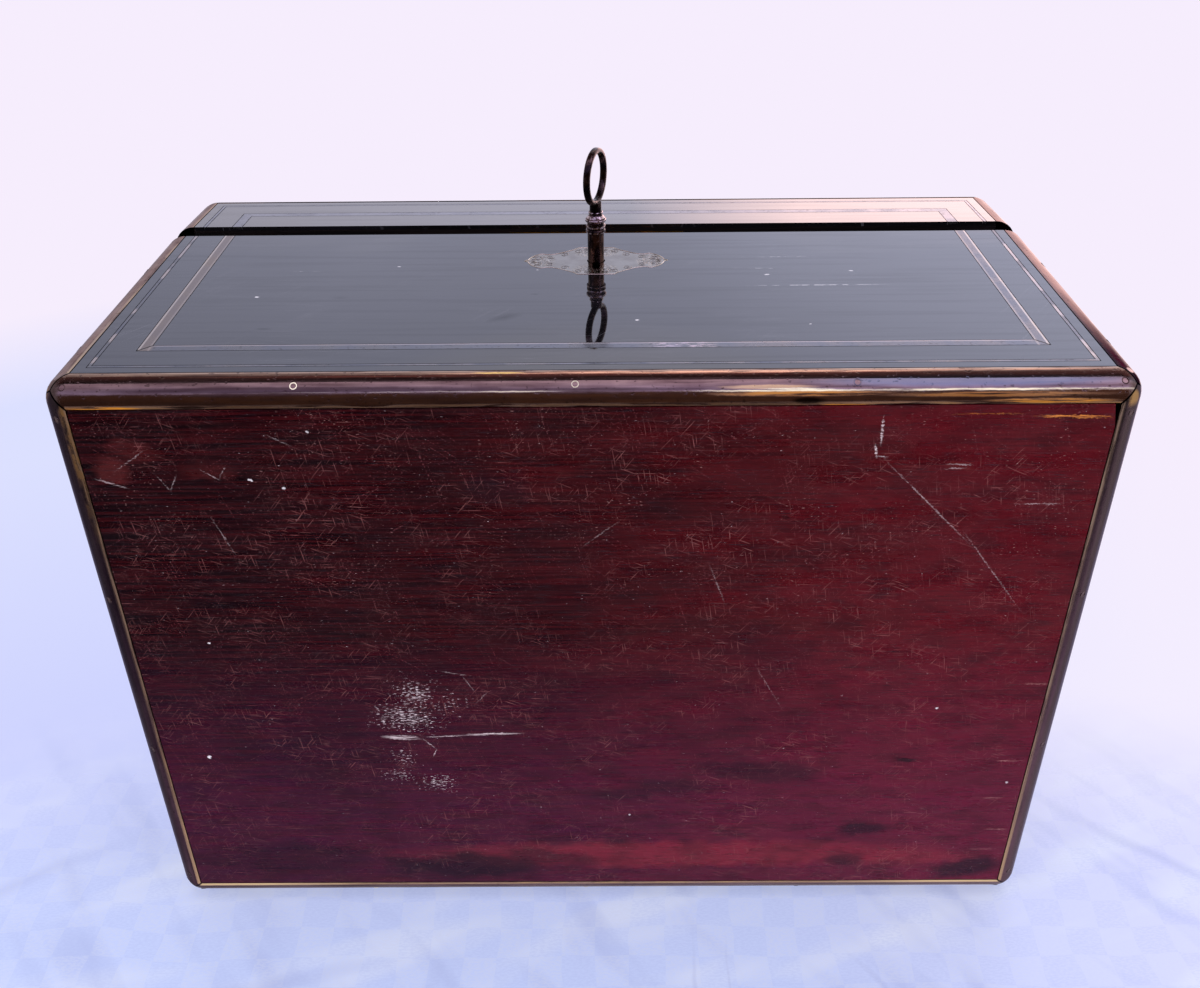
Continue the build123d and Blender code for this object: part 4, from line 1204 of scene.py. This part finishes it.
def rubbed_iron():
    """Forged iron, brown-black with age, rubbed to copper brown on the shank, its worn patches
    lightened as painted highlights, and painted highlights on its turned rims.
    """
    material, tree, place = start_finish("rubbed_iron")
    worn = patches(tree, place, (3.5, 6, 3.5), 0.46, 0.62, detail=4.0)
    pits = patches(tree, place, (1.0, 1.0, 1.0), 0.56, 0.66)
    ahead = add(tree, "ShaderNodeSeparateXYZ", {0: place}).outputs["Y"]
    height = add(
        tree, "ShaderNodeMath", {0: -half_depth, 1: ahead}, operation="SUBTRACT"
    ).outputs[0]
    rims = largest(tree, *[between(tree, height, low, high, 0.12) for low, high in key_highlight_bands])
    rubbed = patches(tree, place, (1.6, 1.6, 1.6), 0.4, 0.5)
    shank = both(
        tree,
        add(
            tree,
            "ShaderNodeMapRange",
            {"Value": height, "From Min": shank_top + 1, "From Max": shank_top},
        ).outputs[0],
        patches(tree, place, (1.6, 9, 1.6), 0.42, 0.58, detail=3.0),
    )
    tint = layered(
        tree,
        colour("#2C2226"),
        [
            # Worn patches, partly painted highlight
            (worn, "#7C645E", 0.6),
            (shank, "#A07A6A", 0.6),
            (pits, "#120C0E", 0.7),
            # Painted highlights on the turned rims
            (both(tree, rims, rubbed), "#F0DCDC", 0.8),
        ],
    )
    rough = add(tree, "ShaderNodeMapRange", {"Value": pits, "To Min": 0.16, "To Max": 0.42})
    end_finish(
        tree,
        {"Base Color": tint, "Metallic": 1.0, "Roughness": rough.outputs[0]},
        relief=add(tree, "ShaderNodeMath", {0: 1.0, 1: pits}, operation="SUBTRACT").outputs[0],
        depth=0.05,
    )
    return material


# Inside and fittings


def planed_cedar(name, along, black_front=False):
    """Bare Spanish cedar: light red-brown and straight-grained, its front face black where asked.
    """
    material, tree, place = start_finish(name)

    def run(length, width):
        size = [width] * 3
        size[along] = length
        return size

    bands = patches(tree, place, run(160, 5), 0.35, 0.65, detail=4.0)
    grain = patches(tree, place, run(60, 1.2), 0.45, 0.62, detail=3.0)
    pores = patches(tree, place, run(6, 0.4), 0.6, 0.68, detail=1.0)
    layers = [(bands, "#9C5E38", 0.6), (grain, "#8A4E2E", 0.45), (pores, "#5A2E1A", 0.7)]
    # The front face is coloured black
    if black_front:
        facing = add(tree, "ShaderNodeTexCoord").outputs["Normal"]
        ahead = add(tree, "ShaderNodeSeparateXYZ", {0: facing}).outputs["Y"]
        lip = add(tree, "ShaderNodeMapRange", {"Value": ahead, "From Min": -0.5, "From Max": -0.9})
        layers.append((lip.outputs[0], "#080506", 1.0))
    tint = layered(tree, colour("#B97E52"), layers)
    end_finish(
        tree,
        {"Base Color": tint, "Roughness": 0.62, "IOR": 1.5},
        relief=add(tree, "ShaderNodeMath", {0: 1.0, 1: pores}, operation="SUBTRACT").outputs[0],
        depth=0.1,
    )
    return material


def black_brown_carcass():
    """Mahogany carcass, black-brown all over: flat and dark, with a faint grain."""
    material, tree, place = start_finish("black_brown_carcass")
    grain = patches(tree, place, (50, 1.4, 50), 0.42, 0.62, detail=4.0)
    pores = patches(tree, place, (6, 0.4, 6), 0.6, 0.68, detail=1.0)
    tint = layered(tree, colour("#0A0708"), [(grain, "#160E0E", 0.7), (pores, "#050304", 0.7)])
    end_finish(
        tree,
        {"Base Color": tint, "Roughness": 0.6, "IOR": 1.5, "Specular IOR Level": 0.15},
        relief=grain,
        depth=0.05,
    )
    return material


def lacquered_brass():
    """Cast brass under clear lacquer: warm yellow, brushed fine, browned in its pits."""
    material, tree, place = start_finish("lacquered_brass")
    brushed = patches(tree, place, (20, 0.4, 0.4), 0.35, 0.65, detail=2.0)
    brown = patches(tree, place, (5, 5, 5), 0.52, 0.7, detail=4.0)
    tint = layered(
        tree, colour("#D6B266"), [(brushed, "#BE9850", 0.5), (brown, "#7A5A34", 0.7)]
    )
    rough = add(tree, "ShaderNodeMapRange", {"Value": brushed, "To Min": 0.2, "To Max": 0.34})
    end_finish(
        tree,
        {"Base Color": tint, "Metallic": 1.0, "Roughness": rough.outputs[0]},
        relief=brushed,
        depth=0.01,
    )
    return material


def filed_steel():
    """Steel draw-filed and oiled: grey, with fine file lines and a few rust specks."""
    material, tree, place = start_finish("filed_steel")
    filed = patches(tree, place, (14, 0.35, 0.35), 0.35, 0.65, turn=8, detail=2.0)
    rust = patches(tree, place, (2.2, 2.2, 2.2), 0.62, 0.7, detail=4.0)
    tint = layered(tree, colour("#A6A4A2"), [(filed, "#84827F", 0.6), (rust, "#6A4028", 0.8)])
    rough = add(tree, "ShaderNodeMapRange", {"Value": filed, "To Min": 0.26, "To Max": 0.42})
    end_finish(
        tree,
        {"Base Color": tint, "Metallic": 1.0, "Roughness": rough.outputs[0]},
        relief=filed,
        depth=0.01,
    )
    return material


def moisture_pad():
    """Dense felted pad: dull green-grey, with open cells about a millimetre across."""
    material, tree, place = start_finish("felted_moisture_pad")
    cells = patches(tree, place, (1.1, 1.1, 1.1), 0.44, 0.6)
    tint = layered(tree, colour("#87947A"), [(cells, "#55604C", 0.8)])
    end_finish(
        tree,
        {"Base Color": tint, "Roughness": 0.95, "Sheen Weight": 0.2},
        relief=add(tree, "ShaderNodeMath", {0: 1.0, 1: cells}, operation="SUBTRACT").outputs[0],
        depth=0.3,
    )
    return material


def give_finishes():
    """Give every CAD node its finish: by name where one is special, else by its slot."""
    along_x, along_y, along_z = range(3)
    brass_x = patinated_brass("patina_brass_long", along_x)
    cedar_x = planed_cedar("planed_cedar", along_x)
    polish = french_polish("ebonised_french_polish")
    by_slot = {
        "mahogany": mahogany_underside(),
        "carcass": black_brown_carcass(),
        "black_polish": polish,
        "cedar": cedar_x,
        "moulding_brass": brass_x,
        "inlay_brass": inlaid_brass("inlaid_line_brass"),
        "fitting_brass": lacquered_brass(),
        "key_iron": rubbed_iron(),
        "lock_steel": filed_steel(),
        "pad": moisture_pad(),
    }
    by_node = {
        "front_veneer": french_polish(
            "ebonised_french_polish_front",
            front_smears,
            front_specks,
            front_scratches,
            dished=True,
        ),
        "base_front_moulding": patinated_brass("patina_brass_near", along_x, near_marks, True),
        "base_back_moulding": patinated_brass("patina_brass_back", along_x, back_marks, True),
        "base_end_mouldings": patinated_brass(
            "patina_brass_ends", along_y, end_marks, joints=True, grazing="#CCC8D4"
        ),
        "lid_end_mouldings": patinated_brass("patina_brass_lid_ends", along_y),
        # The lid's front moulding is darkened nearly to black and its grazing mirror tinted dark:
        # painted shade
        "lid_front_moulding": patinated_brass(
            "patina_brass_lid_front", along_x, shade=0.9, grazing="#2A2224"
        ),
        "corner_mouldings": patinated_brass(
            "worn_brass_uprights",
            along_z,
            upright_marks,
            joints=True,
            light=0.5,
            grazing="#E0D4D0",
        ),
        "lid_corner_mouldings": patinated_brass(
            "worn_brass_lid_uprights", along_z, upright_marks, light=0.5, grazing="#E0D4D0"
        ),
        "front_band": inlaid_brass("inlaid_band_brass", band=True),
        "lid_band": inlaid_brass("inlaid_lid_band_brass", lid=True),
        "lid_stringing": inlaid_brass("inlaid_lid_line_brass", lid=True),
        "key_plate": engraved_plate(),
        "lining_front": planed_cedar("planed_cedar_front", along_x, black_front=True),
        "lining_ends": planed_cedar("planed_cedar_ends", along_y),
    }
    for name, node in frame["nodes"].items():
        for slot in node.material_slots:
            slot.material = by_node.get(name) or by_slot[slot.material.name.split(".")[0]]


# Pieces that Geometry Nodes make

# Rings on the pins' ends, whose wire reaches to the pin's edge, sunk a little into the brass
pin_ring_radius = 1.0
pin_wire_radius = 0.2
pin_ring_sunk = 0.1
# Where the pins stand along each moulding, and how far they lean from level in degrees
long_pins = (-157.6, -88.7, -5.1, 78.5, 157.6)
long_pin_lean = 41.0
end_pins = (-102.0, -34.0, 34.0, 102.0)
end_pin_lean = 60.0
upright_pins = (30.0, 95.0)
# Height of the middle of the lid's mouldings when it is closed
lid_centre = 158.3


def pin_heads(level, up, uprights):
    """List where each pin comes out of the quarter-round, and which way it points."""
    heads = []
    lean, end_lean = math.radians(long_pin_lean), math.radians(end_pin_lean)
    for side in (-1, 1):
        for x in long_pins:
            out = Vector((0, side * math.cos(lean), up * math.sin(lean)))
            heads.append((Vector((x, side * panel_y, level)), out))
        for y in end_pins:
            out = Vector((side * math.cos(end_lean), 0, up * math.sin(end_lean)))
            heads.append((Vector((side * panel_x, y, level)), out))
        for end in (-1, 1):
            for z in uprights:
                out = Vector((side, end, 0)).normalized()
                heads.append((Vector((side * panel_x, end * panel_y, z)), out))
    return [(centre + out * (edge_radius - pin_ring_sunk), out) for centre, out in heads]


def point_mesh(name, heads, turn):
    """Make a mesh of loose points, each with the direction that it faces."""
    mesh = bpy.data.meshes.new(name)
    mesh.from_pydata([turn @ (point / per_metre) for point, _ in heads], [], [])
    facing = mesh.attributes.new("outward", "FLOAT_VECTOR", "POINT")
    for item, (_, out) in zip(facing.data, heads):
        item.vector = turn.to_3x3() @ out
    return mesh


def new_tree(name, inputs):
    """Start a Geometry Nodes tree with its named inputs: give the tree and its input sockets."""
    tree = bpy.data.node_groups.new(name, "GeometryNodeTree")
    for label, kind in {"Geometry": "NodeSocketGeometry", **inputs}.items():
        tree.interface.new_socket(label, in_out="INPUT", socket_type=kind)
    tree.interface.new_socket("Geometry", in_out="OUTPUT", socket_type="NodeSocketGeometry")
    return tree, add(tree, "NodeGroupInput").outputs


def end_tree(tree, geometry, finish):
    """End a tree: make instances real, smooth them and give them their finish."""
    real = add(tree, "GeometryNodeRealizeInstances", {0: geometry}).outputs[0]
    smooth = add(tree, "GeometryNodeSetShadeSmooth", {0: real}).outputs[0]
    finished = add(tree, "GeometryNodeSetMaterial", {"Geometry": smooth, "Material": finish})
    add(tree, "NodeGroupOutput", {0: finished.outputs[0]})


def ring_tree():
    """A small round wire ring on every point, flat against what the point faces."""
    tree, given = new_tree(
        "ring on each pin",
        {
            "Ring radius": "NodeSocketFloat",
            "Wire radius": "NodeSocketFloat",
            "Finish": "NodeSocketMaterial",
        },
    )
    ring = add(
        tree, "GeometryNodeCurvePrimitiveCircle", {"Resolution": 20, "Radius": given["Ring radius"]}
    ).outputs[0]
    wire = add(
        tree, "GeometryNodeCurvePrimitiveCircle", {"Resolution": 6, "Radius": given["Wire radius"]}
    ).outputs[0]
    torus = add(tree, "GeometryNodeCurveToMesh", {"Curve": ring, "Profile Curve": wire}).outputs[0]
    outward = add(
        tree, "GeometryNodeInputNamedAttribute", {"Name": "outward"}, data_type="FLOAT_VECTOR"
    ).outputs[0]
    turn = add(
        tree, "FunctionNodeAlignRotationToVector", {"Vector": outward}, axis="Z"
    ).outputs[0]
    rings = add(
        tree,
        "GeometryNodeInstanceOnPoints",
        {"Points": given["Geometry"], "Instance": torus, "Rotation": turn},
    ).outputs[0]
    end_tree(tree, rings, given["Finish"])
    return tree


def edge_wire_tree():
    """A thin wire along the sharp edges in a piece's front plane, but for those of its keyhole."""
    tree, given = new_tree(
        "wire along the front edges",
        {
            "Front": "NodeSocketFloat",
            "Middle": "NodeSocketVector",
            "Keyhole reach": "NodeSocketFloat",
            "Wire radius": "NodeSocketFloat",
            "Finish": "NodeSocketMaterial",
        },
    )
    merged = add(
        tree, "GeometryNodeMergeByDistance", {"Geometry": given["Geometry"], "Distance": 1e-5}
    ).outputs[0]
    angle = add(tree, "GeometryNodeInputMeshEdgeAngle").outputs[0]
    sharp = add(tree, "FunctionNodeCompare", {0: angle, 1: 1.0}, operation="GREATER_THAN")
    position = add(tree, "GeometryNodeInputPosition").outputs[0]
    y = add(tree, "ShaderNodeSeparateXYZ", {0: position}).outputs["Y"]
    ahead = add(tree, "FunctionNodeCompare", {0: y, 1: given["Front"]}, operation="LESS_THAN")
    apart = add(
        tree, "ShaderNodeVectorMath", {0: position, 1: given["Middle"]}, operation="DISTANCE"
    ).outputs["Value"]
    outer = add(
        tree, "FunctionNodeCompare", {0: apart, 1: given["Keyhole reach"]}, operation="GREATER_THAN"
    )
    chosen = sharp.outputs[0]
    for kept in (ahead, outer):
        chosen = add(
            tree, "FunctionNodeBooleanMath", {0: chosen, 1: kept.outputs[0]}, operation="AND"
        ).outputs[0]
    line = add(
        tree, "GeometryNodeMeshToCurve", {"Mesh": merged, "Selection": chosen}
    ).outputs[0]
    wire = add(
        tree, "GeometryNodeCurvePrimitiveCircle", {"Resolution": 6, "Radius": given["Wire radius"]}
    ).outputs[0]
    rim = add(tree, "GeometryNodeCurveToMesh", {"Curve": line, "Profile Curve": wire}).outputs[0]
    end_tree(tree, rim, given["Finish"])
    return tree


def scroll_tree():
    """An engraved spiral on every point, sized and turned by the point."""
    tree, given = new_tree(
        "scroll on each point",
        {
            "Wire radius": "NodeSocketFloat",
            "Turns": "NodeSocketFloat",
            "Finish": "NodeSocketMaterial",
        },
    )
    spiral = add(
        tree,
        "GeometryNodeCurveSpiral",
        {
            "Resolution": 18,
            "Rotations": given["Turns"],
            "Start Radius": scroll_eye / per_metre,
            "End Radius": scroll_outside / per_metre,
            "Height": 0.0,
        },
    ).outputs[0]
    size = add(
        tree, "GeometryNodeInputNamedAttribute", {"Name": "size"}, data_type="FLOAT"
    ).outputs[0]
    swing = add(
        tree, "GeometryNodeInputNamedAttribute", {"Name": "swing"}, data_type="FLOAT_VECTOR"
    ).outputs[0]
    spirals = add(
        tree,
        "GeometryNodeInstanceOnPoints",
        {"Points": given["Geometry"], "Instance": spiral, "Rotation": swing, "Scale": size},
    ).outputs[0]
    real = add(tree, "GeometryNodeRealizeInstances", {0: spirals}).outputs[0]
    wire = add(
        tree, "GeometryNodeCurvePrimitiveCircle", {"Resolution": 5, "Radius": given["Wire radius"]}
    ).outputs[0]
    cut = add(tree, "GeometryNodeCurveToMesh", {"Curve": real, "Profile Curve": wire}).outputs[0]
    end_tree(tree, cut, given["Finish"])
    return tree


def grown(name, mesh, tree, sizes):
    """Run a tree over a mesh and keep what it makes as a plain piece at the origin."""
    piece = bpy.data.objects.new(name, mesh)
    scene.collection.objects.link(piece)
    modifier = piece.modifiers.new(name, "NODES")
    modifier.node_group = tree
    for item in tree.interface.items_tree:
        if item.name in sizes:
            modifier[item.identifier] = sizes[item.name]
    ready = bpy.context.evaluated_depsgraph_get()
    made = bpy.data.meshes.new_from_object(piece.evaluated_get(ready), depsgraph=ready)
    piece.modifiers.remove(modifier)
    piece.data = made
    return piece


def pin_rings(finish):
    """Ring the pins of the body and of the lid, which stands ajar."""
    hinge = Vector(lid_hinge["pos_m"])
    from_closed = -math.radians(lid_hinge["range_deg"][0])
    ajar = Matrix.Rotation(from_closed, 4, Vector(lid_hinge["axis"]))
    opened = Matrix.Translation(hinge) @ ajar @ Matrix.Translation(-hinge)
    tree = ring_tree()
    sizes = {
        "Ring radius": pin_ring_radius / per_metre,
        "Wire radius": pin_wire_radius / per_metre,
        "Finish": finish,
    }
    for body, level, up, uprights, turn in (
        ("case", edge_radius, -1, upright_pins, Matrix.Identity(4)),
        ("lid", lid_centre, 1, (), opened),
    ):
        points = point_mesh(f"pin_heads_{body}", pin_heads(level, up, uprights), turn)
        rings = grown(f"pin_rings_{body}", points, tree, sizes)
        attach(rings, body)


scrolls = [
    # x from the plate's middle, z from it, size and turn, each drawn on both sides
    (21.2, 2.6, 1.9, 20),
    (16.6, 3.6, 1.5, 200),
    (11.2, 6.4, 1.7, 120),
    (6.6, 9.6, 1.7, 300),
    (3.4, 11.0, 1.1, 60),
    (22.8, 0.9, 0.9, 90),
]
plate_wire = 0.16
scroll_wire = 0.1
# Radii of a scroll of size 1 at its eye and outside, and how often it turns
scroll_eye = 0.25
scroll_outside = 1.0
scroll_turns = 1.4
# The rim's wire leaves out the edges round the keyhole, and takes those this near the front
keyhole_reach = 8.0
front_slack = 0.05


def plate_ornament(bright, dark):
    """Rub the key plate's rim bright, and cut leaf scrolls into its lobes."""
    front = box_mm("key_plate")[0].y
    copied = frame["nodes"]["key_plate"].data.copy()
    rim = grown(
        "key_plate_rim",
        copied,
        edge_wire_tree(),
        {
            "Front": (front + front_slack) / per_metre,
            "Middle": Vector((plate_x, front, plate_z)) / per_metre,
            "Keyhole reach": keyhole_reach / per_metre,
            "Wire radius": plate_wire / per_metre,
            "Finish": bright,
        },
    )
    places, sizes, swings = [], [], []
    for side in (-1, 1):
        for end in (-1, 1):
            for x, z, size, turn in scrolls:
                places.append(Vector((plate_x + side * x, front, plate_z + end * z)) / per_metre)
                sizes.append(size)
                flip = 0.0 if side * end > 0 else math.pi
                swings.append((math.pi / 2 + flip, math.radians(turn * side), 0.0))
    mesh = bpy.data.meshes.new("scroll_points")
    mesh.from_pydata(places, [], [])
    size_of = mesh.attributes.new("size", "FLOAT", "POINT")
    swing_of = mesh.attributes.new("swing", "FLOAT_VECTOR", "POINT")
    for index, (size, swing) in enumerate(zip(sizes, swings)):
        size_of.data[index].value = size
        swing_of.data[index].vector = swing
    cut = grown(
        "key_plate_scrolls",
        mesh,
        scroll_tree(),
        {"Wire radius": scroll_wire / per_metre, "Turns": scroll_turns, "Finish": dark},
    )
    for piece in (rim, cut):
        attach(piece, "case")


def ring_brass():
    """Pin rims rubbed by hands: two cream-bright near the base, one greyed, the rest brown."""
    material, tree, place = start_finish("rubbed_pin_rims")
    face = on_face(tree, place, "X", "Z")
    _, left, middle, right, _ = long_pins
    bright = marks(tree, face, [(left, 3, 4, 5, 0, 1.0), (middle, 3, 4, 5, 0, 0.7)])
    faint = marks(tree, face, [(right, 3, 4, 5, 0, 1.0)])
    tint = layered(tree, colour("#6E5A54"), [(bright, "#FFF2DC", 1.0), (faint, "#8C8A98", 1.0)])
    mirrors = add(
        tree, "ShaderNodeMapRange", {"Value": bright, "To Min": 1.0, "To Max": worn_metal}
    ).outputs[0]
    end_finish(tree, {"Base Color": tint, "Metallic": mirrors, "Roughness": 0.3})
    return material


def scroll_brass():
    """The cut lines of the engraving, greyed by old polish."""
    material, tree, place = start_finish("engraved_lines")
    grime = patches(tree, place, (2, 2, 2), 0.4, 0.6)
    tint = layered(tree, colour("#96908A"), [(grime, "#7C756E", 0.8)])
    end_finish(tree, {"Base Color": tint, "Metallic": 1.0, "Roughness": 0.3})
    return material


def rim_brass():
    """The key plate's rim, polished by wear."""
    material, tree, place = start_finish("polished_plate_rim")
    worn = patches(tree, place, (3, 3, 3), 0.4, 0.6)
    tint = layered(tree, colour("#FFF2E2"), [(worn, "#CDBBA6", 0.7)])
    end_finish(tree, {"Base Color": tint, "Metallic": 1.0, "Roughness": 0.28})
    return material


set_camera()
set_world()
set_lamps()
set_stage()
give_finishes()
pin_rings(ring_brass())
plate_ornament(rim_brass(), scroll_brass())
